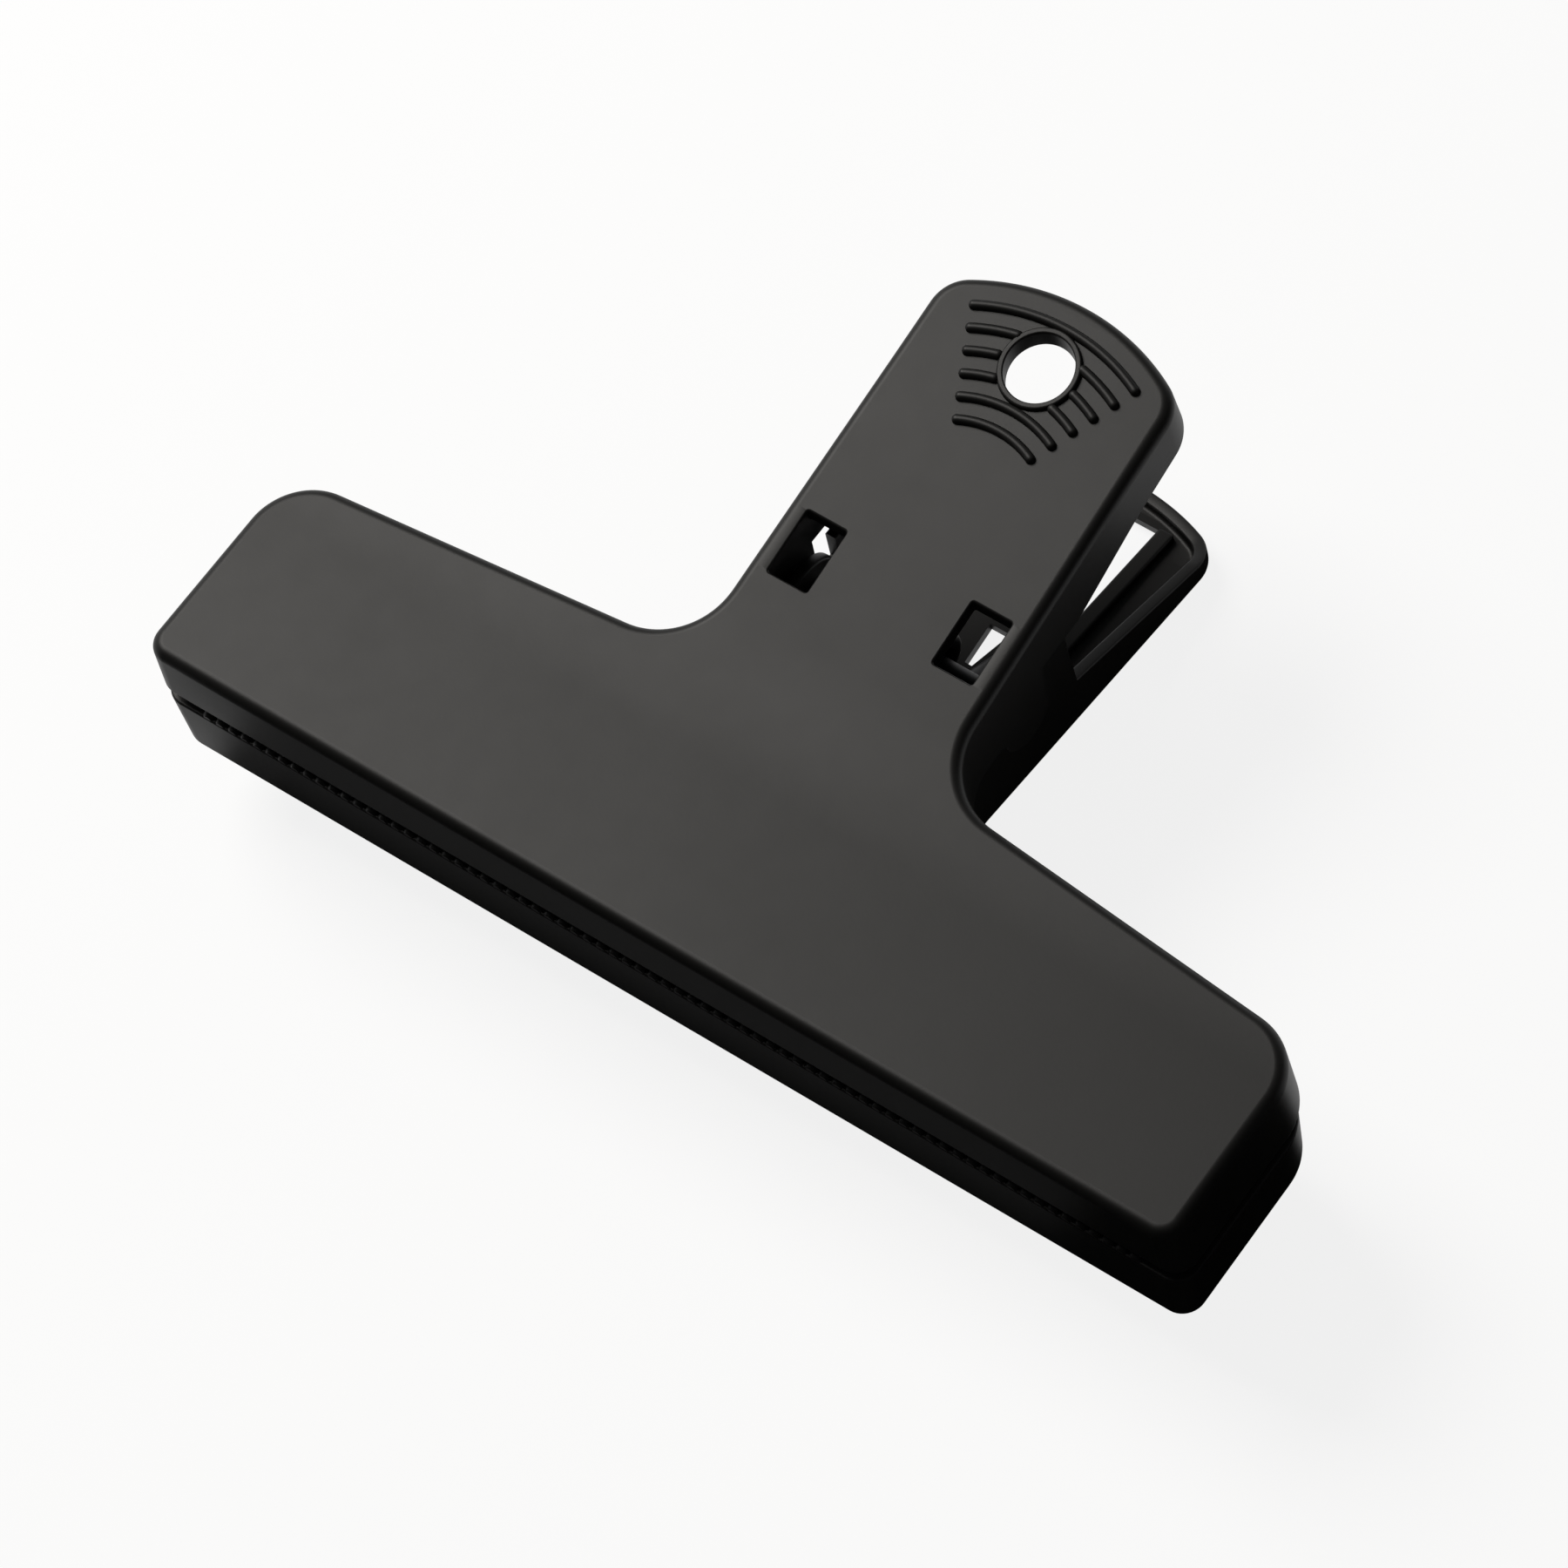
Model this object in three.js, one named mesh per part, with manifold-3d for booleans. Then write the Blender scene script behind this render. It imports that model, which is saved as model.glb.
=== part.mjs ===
// A wide-jaw spring clip with a magnet on its back, in millimetres, +Z up.
// Design frame: X along the jaw, Y from the jaw's front edge to the handle tips,
// and Z = 0 midway between the jaw faces.
// The group then moves the design frame so that the origin is the middle of the resting face.
import * as THREE from 'three';
import { mergeVertices } from 'three/addons/utils/BufferGeometryUtils.js';
import Module from 'manifold-3d';

const wasm = await Module();
wasm.setup();

// Driving dimensions of the two levers, seen from above
const JAW_LENGTH = 101.6;
const JAW_END_DEPTH = 19.3;
const JAW_MIDDLE_DEPTH = 22.8;
const JAW_END_TAPER = 0.25;
const CLIP_LENGTH = 61.9;
const HANDLE_BASE_WIDTH = 24.3;
const HANDLE_TIP_WIDTH = 23.1;
const FRONT_CORNER_RADIUS = 2;
const REAR_CORNER_RADIUS = 5.6;
const HANDLE_ROOT_RADIUS = 6.6;
const TIP_CORNER_RADIUS = 3.5;
const TIP_ARC_RADIUS = 21.3;

// How far the lower lever's outline lies inside the upper one's, and past it at the tip
const LOWER_END_INSET = 0.3;
const LOWER_REAR_INSET = 0.4;
const LOWER_TIP_EXTENSION = 0.3;
const NEST_CLEARANCE = 0.28;

// How far the walls lean outwards for each millimetre below the outer face, and where the lean fades in
const UPPER_END_DRAFT = 0.055;
const UPPER_TIP_DRAFT = 0.055;
const LOWER_END_DRAFT = 0.08;
const END_DRAFT_FROM_X = 25;
const END_DRAFT_TO_X = 45;
const TIP_DRAFT_FROM_Y = 50;
const TIP_DRAFT_TO_Y = 60;

// Thicknesses and heights
const JAW_THICKNESS = 14.8;
const WALL = 1.1;
const UPPER_PLATE = 1.3;
const LOWER_PLATE = 1;
const EDGE_FILLET = 1;
const UPPER_LIP_BELOW_TOP = 6.3;
const LIP_GAP = 1.55;
const LIP_TOOTH_HEIGHT = 0.45;
const LIP_TOOTH_PITCH = 1.3;
const LIP_TOOTH_MARGIN = 3.2;
const LIP_TOOTH_PROFILE = [[0, 0], [0.3, 0.85], [0.5, 1], [0.7, 0.85]];

// The handles splay apart: a smooth bend, then a straight slope
const SPLAY_ANGLE = THREE.MathUtils.degToRad(10.3);
const BEND_START = 15.4;
const BEND_LENGTH = 12;

// Side edges of the handles
const SKIRT_EDGE_BELOW_TOP = 3;
const SKIRT_RISE_START = 42.1;
const SKIRT_RISE_ANGLE = THREE.MathUtils.degToRad(17.2);
const RIM_HEIGHT_AT_TIP = 1.8;
const RIM_DROP_ANGLE = THREE.MathUtils.degToRad(20.4);
const EAR_REAR_ANGLE = THREE.MathUtils.degToRad(8);
const TAB_FRONT_BEHIND_PIVOT = 4.2;
const TAB_REAR_BEHIND_PIVOT = 7.3;
const TAB_ABOVE_PIVOT = 3.6;

// Hinge
const PIVOT_Y = 34;
const PIVOT_Z = 0.8;
const PIN_RADIUS = 1.25;
const PIN_CLEARANCE = 0.25;
const UPPER_EAR_RADIUS = 2.9;
const LOWER_EAR_RADIUS = 3.8;
const EAR_SKIN = 0.45;
const BOSS_RADIUS = 2.6;
const BOSS_LENGTH = 2.2;

// Torsion spring
const WIRE_DIAMETER = 1.4;
const COIL_TURNS = 4;
const COIL_PITCH = 1.9;
const COIL_INNER_CLEARANCE = 0.7;
const LEG_REACH = 12.5;
const LEG_SEAT_GAP = 0.25;

// Openings in the handles
const WINDOW_WIDTH = 3.9;
const WINDOW_LENGTH = 5.8;
const WINDOW_OFFSET = 8.15;
const HOLE_RADIUS = 2.95;
const HOLE_FROM_TIP = 6.4;
const HOLE_RING_WIDTH = 0.55;
const HOLE_RING_HEIGHT = 0.4;
const FLOOR_SLOT_WIDTH = 9.5;
const FLOOR_SLOT_FRONT = 48;
const FLOOR_SLOT_REAR_FROM_TIP = 2.7;
const SLOT_RAIL_WIDTH = 1.5;
const SLOT_RAIL_HEIGHT = 0.8;
const SLOT_RAIL_FRONT = 40;
const RELIEF_FRONT = 39.8;
const RELIEF_REAR = 44.1;
const RELIEF_FRONT_WIDTH = 0.7;
const RELIEF_REAR_WIDTH = 2;

// Thumb grip: concentric raised arcs
const GRIP_ARC_COUNT = 6;
const GRIP_FIRST_RADIUS = 9.05;
const GRIP_PITCH = 1.94;
const GRIP_HALF_ANGLE = THREE.MathUtils.degToRad(26.3);
const GRIP_BEAD_WIDTH = 0.84;
const GRIP_BEAD_HEIGHT = 0.5;

// Stiffening ribs inside the jaws
const JAW_RIB_THICKNESS = 0.9;
const JAW_RIB_HEIGHT = 2.4;
const JAW_RIB_SPACING = 17;
const JAW_RIBS_PER_SIDE = 2;

// Magnet and its seat on the back of the lower jaw
const MAGNET_LENGTH = 46;
const MAGNET_WIDTH = 9;
const MAGNET_THICKNESS = 3;
const MAGNET_CLEARANCE = 0.3;
const MAGNET_PROUD = 0.3;
const SEAT_WALL = 1.5;
const SEAT_SHELF = 1.2;
const SEAT_FRONT_SETBACK = 4;

// Faceting
const CORNER_STEPS = 5;
const ROOT_STEPS = 7;
const TIP_STEPS = 7;
const FILLET_STEPS = 3;
const ROUND_SIDES = 24;
const EAR_STEPS = 14;
const GRIP_STEPS = 8;
const GRIP_END_STEPS = 3;
const LEG_STEPS = 6;
const STEPS_PER_TURN = 8;
const WIRE_SIDES = 5;
const OVERLAP = 0.4;
const FAR = 80;

// Derived places
const splaySlope = Math.tan(SPLAY_ANGLE);
const topFace = JAW_THICKNESS / 2;
const upperLip = topFace - UPPER_LIP_BELOW_TOP;
const lowerLip = upperLip - LIP_GAP;
const lowerTip = CLIP_LENGTH + LOWER_TIP_EXTENSION;
const restHeight = topFace + splay(lowerTip - EDGE_FILLET);
const pinBoreRadius = PIN_RADIUS + PIN_CLEARANCE;

const upperPlan = {
  halfLength: JAW_LENGTH / 2,
  endTaper: JAW_END_TAPER,
  endDepth: JAW_END_DEPTH,
  middleDepth: JAW_MIDDLE_DEPTH,
  baseHalfWidth: HANDLE_BASE_WIDTH / 2,
  tipHalfWidth: HANDLE_TIP_WIDTH / 2,
  tip: CLIP_LENGTH,
  endDraft: UPPER_END_DRAFT,
  tipDraft: UPPER_TIP_DRAFT,
  outerFace: upperFace,
};
const lowerPlan = {
  halfLength: upperPlan.halfLength - LOWER_END_INSET,
  endTaper: JAW_END_TAPER,
  endDepth: JAW_END_DEPTH - LOWER_REAR_INSET,
  middleDepth: JAW_MIDDLE_DEPTH - LOWER_REAR_INSET,
  baseHalfWidth: upperPlan.baseHalfWidth - WALL - NEST_CLEARANCE,
  tipHalfWidth: upperPlan.tipHalfWidth - WALL - NEST_CLEARANCE,
  tip: lowerTip,
  endDraft: LOWER_END_DRAFT,
  tipDraft: 0,
  outerFace: lowerFace,
};

// How far a handle has splayed from the jaw plane at a distance y from the front edge
function splay(y) {
  const into = THREE.MathUtils.clamp(y - BEND_START, 0, BEND_LENGTH);
  const past = Math.max(0, y - BEND_START - BEND_LENGTH);
  return splaySlope * (into * into / (2 * BEND_LENGTH) + past);
}

// Heights of the levers' outer faces, of the upper one's ceiling and of the lower one's floor
function upperFace(y) {
  return topFace + splay(y);
}

function lowerFace(y) {
  return -topFace - splay(y);
}

function ceiling(y) {
  return upperFace(y) - UPPER_PLATE;
}

function floor(y) {
  return lowerFace(y) + LOWER_PLATE;
}

// Half width of a handle's outer face at a distance y from the front edge
function handleHalfWidth(plan, y) {
  const share = (y - plan.middleDepth) / (plan.tip - plan.middleDepth);
  return THREE.MathUtils.lerp(plan.baseHalfWidth, plan.tipHalfWidth, share);
}

// A straight side of the outline as its outward normal angle and its distance from the origin
function sideLine(from, to) {
  const along = to.clone().sub(from).normalize();
  const normal = new THREE.Vector2(along.y, -along.x);
  return { normal, angle: Math.atan2(normal.y, normal.x), distance: normal.dot(from) };
}

// Centre of a round corner of the given signed radius between two sides; concave corners have a negative one
function cornerCentre(first, second, radius) {
  const a = first.normal;
  const b = second.normal;
  const c = first.distance - radius;
  const d = second.distance - radius;
  const determinant = a.x * b.y - a.y * b.x;
  return new THREE.Vector2((c * b.y - d * a.y) / determinant, (a.x * d - b.x * c) / determinant);
}

// Right half of a lever's outline, from the front edge to the middle of the tip, moved inwards by inset.
// The same number of points comes back for every inset, so that outlines at two insets can be joined.
function halfOutline(plan, inset) {
  const frontCorner = new THREE.Vector2(plan.halfLength, 0);
  const rearCorner = new THREE.Vector2(plan.halfLength - plan.endTaper, plan.endDepth);
  const handleRoot = new THREE.Vector2(plan.baseHalfWidth, plan.middleDepth);
  const handleEnd = new THREE.Vector2(plan.tipHalfWidth, plan.tip);
  const front = sideLine(new THREE.Vector2(0, 0), frontCorner);
  const end = sideLine(frontCorner, rearCorner);
  const rear = sideLine(rearCorner, handleRoot);
  const side = sideLine(handleRoot, handleEnd);
  const tipCentre = new THREE.Vector2(0, plan.tip - TIP_ARC_RADIUS);
  const tipCornerX = (side.distance - TIP_CORNER_RADIUS - side.normal.y * tipCentre.y) / side.normal.x;
  const tipCornerReach = TIP_ARC_RADIUS - TIP_CORNER_RADIUS;
  const lean = side.normal.y / side.normal.x;
  const slant = 1 + lean * lean;
  const root = Math.sqrt(tipCornerX ** 2 * lean ** 2 + slant * (tipCornerReach ** 2 - tipCornerX ** 2));
  const tipCornerRise = (tipCornerX * lean + root) / slant;
  const tipCorner = new THREE.Vector2(tipCornerX - lean * tipCornerRise, tipCentre.y + tipCornerRise);
  const tipAngle = Math.atan2(tipCorner.y - tipCentre.y, tipCorner.x);
  const corner = (first, second, radius, steps) =>
    [cornerCentre(first, second, radius), radius, first.angle, second.angle, steps];
  const arcs = [
    corner(front, end, FRONT_CORNER_RADIUS, CORNER_STEPS),
    corner(end, rear, REAR_CORNER_RADIUS, ROOT_STEPS),
    corner(rear, side, -HANDLE_ROOT_RADIUS, ROOT_STEPS),
    [tipCorner, TIP_CORNER_RADIUS, side.angle, tipAngle, CORNER_STEPS],
    [tipCentre, TIP_ARC_RADIUS, tipAngle, Math.PI / 2, TIP_STEPS],
  ];
  const points = [];
  for (const [centre, radius, fromAngle, toAngle, steps] of arcs) {
    const firstStep = centre === tipCentre ? 1 : 0;
    for (let step = firstStep; step <= steps; step += 1) {
      const angle = THREE.MathUtils.lerp(fromAngle, toAngle, step / steps);
      const reach = radius - inset;
      points.push(new THREE.Vector2(centre.x + reach * Math.cos(angle), centre.y + reach * Math.sin(angle)));
    }
  }
  points[points.length - 1].x = 0;
  return points;
}

// A point of the right half, moved outwards by the draft of a wall at its depth below the outer face
function drafted(plan, point, z) {
  const depth = Math.abs(plan.outerFace(point.y) - z);
  const atEnd = THREE.MathUtils.smoothstep(point.x, END_DRAFT_FROM_X, END_DRAFT_TO_X);
  const atTip = THREE.MathUtils.smoothstep(point.y, TIP_DRAFT_FROM_Y, TIP_DRAFT_TO_Y);
  const outwards = Math.sign(point.x) * (plan.endDraft * atEnd + plan.tipDraft * atTip);
  return new THREE.Vector3(point.x + depth * outwards, point.y + depth * plan.tipDraft * atTip, z);
}

// A closed ring of 3-D points at one inset, with its height given as a function of y
function ring(plan, inset, heightAt) {
  const right = halfOutline(plan, inset).map((point) => drafted(plan, point, heightAt(point.y)));
  const left = right.slice(0, -1).reverse().map((point) => new THREE.Vector3(-point.x, point.y, point.z));
  return [...right, ...left];
}

// Closes a mesh made of triangles over a list of points
function meshGeometry(points, triangles) {
  const geometry = new THREE.BufferGeometry();
  const values = points.flatMap((point) => point.toArray());
  geometry.setAttribute('position', new THREE.Float32BufferAttribute(values, 3));
  geometry.setIndex(triangles);
  return geometry;
}

// Joins rings from the lowest to the highest and closes both ends with strips from right to left
function loft(rings) {
  const count = rings[0].length;
  const half = (count + 1) / 2;
  const triangles = [];
  for (let level = 0; level + 1 < rings.length; level += 1) {
    for (let i = 0; i < count; i += 1) {
      const a = level * count + i;
      const b = level * count + (i + 1) % count;
      triangles.push(a, b, b + count, a, b + count, a + count);
    }
  }
  const top = (rings.length - 1) * count;
  for (let i = 0; i + 1 < half; i += 1) {
    const leftHere = count - 1 - i;
    const leftNext = count - 2 - i;
    triangles.push(top + i, top + i + 1, top + leftHere);
    triangles.push(leftHere, i + 1, i);
    if (leftNext > i + 1) {
      triangles.push(top + i + 1, top + leftNext, top + leftHere);
      triangles.push(leftHere, leftNext, i + 1);
    }
  }
  return meshGeometry(rings.flat(), triangles);
}

function solid(geometry) {
  const bare = geometry.clone();
  bare.deleteAttribute('normal');
  bare.deleteAttribute('uv');
  const merged = mergeVertices(bare, 1e-5);
  return new wasm.Manifold(new wasm.Mesh({
    numProp: 3,
    vertProperties: new Float32Array(merged.attributes.position.array),
    triVerts: new Uint32Array(merged.index.array),
  }));
}

function geometryOf(manifold) {
  const mesh = manifold.getMesh();
  const geometry = new THREE.BufferGeometry();
  geometry.setAttribute('position', new THREE.Float32BufferAttribute(mesh.vertProperties, mesh.numProp));
  geometry.setIndex(Array.from(mesh.triVerts));
  return geometry;
}

function box(xFrom, xTo, yFrom, yTo, zFrom, zTo) {
  const geometry = new THREE.BoxGeometry(xTo - xFrom, yTo - yFrom, zTo - zFrom);
  geometry.translate((xFrom + xTo) / 2, (yFrom + yTo) / 2, (zFrom + zTo) / 2);
  return solid(geometry);
}

// A round bar along X
function barAlongX(xFrom, xTo, y, z, radius, sides = ROUND_SIDES) {
  const geometry = new THREE.CylinderGeometry(radius, radius, xTo - xFrom, sides);
  geometry.rotateZ(Math.PI / 2);
  geometry.translate((xFrom + xTo) / 2, y, z);
  return solid(geometry);
}

// A side profile drawn in (y, z) and pushed along X
function profileAlongX(points, xFrom, xTo) {
  const settings = { depth: xTo - xFrom, bevelEnabled: false };
  const geometry = new THREE.ExtrudeGeometry(new THREE.Shape(points), settings);
  const turned = new THREE.Matrix4().makeBasis(
    new THREE.Vector3(0, 1, 0), new THREE.Vector3(0, 0, 1), new THREE.Vector3(1, 0, 0));
  geometry.applyMatrix4(turned);
  geometry.translate(xFrom, 0, 0);
  return solid(geometry);
}

// A plan shape pushed up from a sloping handle face, between two offsets from it
function onHandle(points, fromOffset, toOffset, faceAt) {
  const geometry = new THREE.ExtrudeGeometry(new THREE.Shape(points), { depth: 1, bevelEnabled: false });
  const position = geometry.attributes.position;
  for (let i = 0; i < position.count; i += 1) {
    const offset = THREE.MathUtils.lerp(fromOffset, toOffset, position.getZ(i));
    position.setZ(i, faceAt(position.getY(i)) + offset);
  }
  return solid(geometry);
}

function rectangle(xFrom, xTo, yFrom, yTo) {
  return [[xFrom, yFrom], [xTo, yFrom], [xTo, yTo], [xFrom, yTo]].map(([x, y]) => new THREE.Vector2(x, y));
}

function circle(x, y, radius, sides) {
  return Array.from({ length: sides }, (_, i) => {
    const angle = 2 * Math.PI * i / sides;
    return new THREE.Vector2(x + radius * Math.cos(angle), y + radius * Math.sin(angle));
  });
}

// Points round an ear, from one angle to another about the hinge axis
function earArc(radius, fromAngle, toAngle) {
  return Array.from({ length: EAR_STEPS + 1 }, (_, i) => {
    const angle = THREE.MathUtils.lerp(fromAngle, toAngle, i / EAR_STEPS);
    return new THREE.Vector2(PIVOT_Y + radius * Math.cos(angle), PIVOT_Z + radius * Math.sin(angle));
  });
}

// What lies below the upper lever's side edge: lip, ear round the pin, then the rising skirt edge
function belowUpperEdge() {
  const skirtEdge = topFace - SKIRT_EDGE_BELOW_TOP;
  const frontAngle = Math.PI - Math.asin((upperLip - PIVOT_Z) / UPPER_EAR_RADIUS);
  const past = lowerTip + FAR;
  return [
    new THREE.Vector2(-OVERLAP, upperLip),
    ...earArc(UPPER_EAR_RADIUS, frontAngle, 2 * Math.PI),
    new THREE.Vector2(PIVOT_Y + UPPER_EAR_RADIUS, skirtEdge),
    new THREE.Vector2(SKIRT_RISE_START, skirtEdge),
    new THREE.Vector2(past, skirtEdge + (past - SKIRT_RISE_START) * Math.tan(SKIRT_RISE_ANGLE)),
    new THREE.Vector2(past, -FAR),
    new THREE.Vector2(-OVERLAP, -FAR),
  ];
}

// What lies above the lower lever's side edge: lip, ear round the pin, stop tab, then the falling rim
function aboveLowerEdge() {
  const tabFront = PIVOT_Y + TAB_FRONT_BEHIND_PIVOT;
  const tabRear = PIVOT_Y + TAB_REAR_BEHIND_PIVOT;
  const tabTop = PIVOT_Z + TAB_ABOVE_PIVOT;
  const frontAngle = Math.PI + Math.asin((PIVOT_Z - lowerLip) / LOWER_EAR_RADIUS);
  const past = lowerTip + OVERLAP;
  const rimAt = (y) => lowerFace(lowerTip) + RIM_HEIGHT_AT_TIP + (lowerTip - y) * Math.tan(RIM_DROP_ANGLE);
  const ear = earArc(LOWER_EAR_RADIUS, frontAngle, EAR_REAR_ANGLE);
  return [
    new THREE.Vector2(-OVERLAP, lowerLip),
    ...ear,
    new THREE.Vector2(tabFront, ear[ear.length - 1].y),
    new THREE.Vector2(tabFront, tabTop),
    new THREE.Vector2(tabRear, tabTop),
    new THREE.Vector2(tabRear, rimAt(tabRear)),
    new THREE.Vector2(past, rimAt(past)),
    new THREE.Vector2(past, FAR),
    new THREE.Vector2(-OVERLAP, FAR),
  ].reverse();
}

// One raised arc of the thumb grip, with round ends
function gripArc(centreY, radius) {
  const half = GRIP_BEAD_WIDTH / 2;
  const points = [];
  const angleAt = (i) => THREE.MathUtils.lerp(-GRIP_HALF_ANGLE, GRIP_HALF_ANGLE, i / GRIP_STEPS);
  const place = (reach, angle) =>
    new THREE.Vector2(reach * Math.sin(angle), centreY + reach * Math.cos(angle));
  for (let i = 0; i <= GRIP_STEPS; i += 1) {
    points.push(place(radius - half, angleAt(i)));
  }
  const roundEnd = (angle, start) => {
    for (let i = 1; i < GRIP_END_STEPS; i += 1) {
      const turn = start + Math.PI * i / GRIP_END_STEPS - angle;
      points.push(place(radius, angle).add(new THREE.Vector2(half * Math.cos(turn), half * Math.sin(turn))));
    }
  };
  roundEnd(GRIP_HALF_ANGLE, -Math.PI / 2);
  for (let i = GRIP_STEPS; i >= 0; i -= 1) {
    points.push(place(radius + half, angleAt(i)));
  }
  roundEnd(-GRIP_HALF_ANGLE, Math.PI / 2);
  return points;
}

// Depth of a lever's jaw at a distance x to either side of the middle
function jawDepth(plan, x) {
  const outer = plan.halfLength - plan.endTaper;
  return THREE.MathUtils.mapLinear(Math.abs(x), outer, plan.baseHalfWidth, plan.endDepth, plan.middleDepth);
}

// Thin ribs from the front wall to the rear wall, between two heights
function jawRibs(plan, zFrom, zTo) {
  const ribs = [];
  for (let n = 1; n <= JAW_RIBS_PER_SIDE; n += 1) {
    for (const x of [-n * JAW_RIB_SPACING, n * JAW_RIB_SPACING]) {
      const half = JAW_RIB_THICKNESS / 2;
      ribs.push(box(x - half, x + half, WALL / 2, jawDepth(plan, x) - WALL / 2, zFrom, zTo));
    }
  }
  return ribs.reduce((joined, rib) => joined.add(rib));
}

// Blind sockets or through bores for the pin, one on each side
function pinBores(fromX, toX) {
  return barAlongX(fromX, toX, PIVOT_Y, PIVOT_Z, pinBoreRadius)
    .add(barAlongX(-toX, -fromX, PIVOT_Y, PIVOT_Z, pinBoreRadius));
}

const upperInnerAtPivot = handleHalfWidth(upperPlan, PIVOT_Y) - WALL;
const socketEnd = handleHalfWidth(upperPlan, PIVOT_Y) - EAR_SKIN;
const lowerOuterAtPivot = handleHalfWidth(lowerPlan, PIVOT_Y);
const bossEnd = lowerOuterAtPivot - WALL - BOSS_LENGTH;

function filletRings(plan, faceAt, up) {
  return Array.from({ length: FILLET_STEPS + 1 }, (_, i) => {
    const angle = Math.PI / 2 * i / FILLET_STEPS;
    const inset = EDGE_FILLET * (1 - Math.cos(angle));
    const drop = EDGE_FILLET * (1 - Math.sin(angle));
    return ring(plan, inset, (y) => faceAt(y) - up * drop);
  });
}

function upperLever() {
  let body = solid(loft([ring(upperPlan, 0, () => -topFace), ...filletRings(upperPlan, upperFace, 1)]));
  const cavity = [ring(upperPlan, WALL, () => -topFace - OVERLAP), ring(upperPlan, WALL, ceiling)];
  body = body.subtract(solid(loft(cavity)));
  body = body.add(jawRibs(upperPlan, topFace - UPPER_PLATE - JAW_RIB_HEIGHT, topFace - UPPER_PLATE / 2));
  body = body.subtract(profileAlongX(belowUpperEdge(), -FAR, FAR));
  body = body.subtract(pinBores(upperInnerAtPivot - OVERLAP, socketEnd));

  const holeY = CLIP_LENGTH - HOLE_FROM_TIP;
  const gripCentre = CLIP_LENGTH - TIP_ARC_RADIUS;
  for (let n = 0; n < GRIP_ARC_COUNT; n += 1) {
    const radius = GRIP_FIRST_RADIUS + n * GRIP_PITCH;
    body = body.add(onHandle(gripArc(gripCentre, radius), -OVERLAP, GRIP_BEAD_HEIGHT, upperFace));
  }
  const ringShape = circle(0, holeY, HOLE_RADIUS + HOLE_RING_WIDTH, ROUND_SIDES);
  body = body.add(onHandle(ringShape, -OVERLAP, HOLE_RING_HEIGHT, upperFace));
  const holeShape = circle(0, holeY, HOLE_RADIUS, ROUND_SIDES);
  body = body.subtract(onHandle(holeShape, -UPPER_PLATE - OVERLAP, GRIP_BEAD_HEIGHT + OVERLAP, upperFace));
  for (const side of [-1, 1]) {
    const x = side * WINDOW_OFFSET;
    const halfWidth = WINDOW_WIDTH / 2;
    const halfLength = WINDOW_LENGTH / 2;
    const window = rectangle(x - halfWidth, x + halfWidth, PIVOT_Y - halfLength, PIVOT_Y + halfLength);
    body = body.subtract(onHandle(window, -UPPER_PLATE - OVERLAP, OVERLAP, upperFace));
  }
  return geometryOf(body);
}

// The toothed strip on the lower jaw's front edge, drawn in (x, z) and pushed through the front wall
function lipTeeth() {
  const reach = lowerPlan.halfLength - LIP_TOOTH_MARGIN;
  const count = Math.floor(2 * reach / LIP_TOOTH_PITCH);
  const start = -count * LIP_TOOTH_PITCH / 2;
  const root = lowerLip - OVERLAP;
  const points = [new THREE.Vector2(start, root)];
  for (let n = 0; n < count; n += 1) {
    for (const [share, height] of LIP_TOOTH_PROFILE) {
      const x = start + (n + share) * LIP_TOOTH_PITCH;
      points.push(new THREE.Vector2(x, lowerLip + height * LIP_TOOTH_HEIGHT));
    }
  }
  points.push(new THREE.Vector2(-start, lowerLip));
  points.push(new THREE.Vector2(-start, root));
  const shape = new THREE.Shape(points.reverse());
  const geometry = new THREE.ExtrudeGeometry(shape, { depth: WALL, bevelEnabled: false });
  geometry.rotateX(Math.PI / 2);
  geometry.translate(0, WALL, 0);
  return solid(geometry);
}

const seatRear = SEAT_FRONT_SETBACK + 2 * SEAT_WALL + MAGNET_WIDTH + 2 * MAGNET_CLEARANCE;
const seatCentreY = (SEAT_FRONT_SETBACK + seatRear) / 2;
const seatHalfLength = MAGNET_LENGTH / 2 + MAGNET_CLEARANCE + SEAT_WALL;
const magnetFace = -restHeight;
const magnetBack = magnetFace + MAGNET_THICKNESS;

function magnetBox(grow, zFrom, zTo) {
  return box(-MAGNET_LENGTH / 2 - grow, MAGNET_LENGTH / 2 + grow,
    seatCentreY - MAGNET_WIDTH / 2 - grow, seatCentreY + MAGNET_WIDTH / 2 + grow, zFrom, zTo);
}

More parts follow.
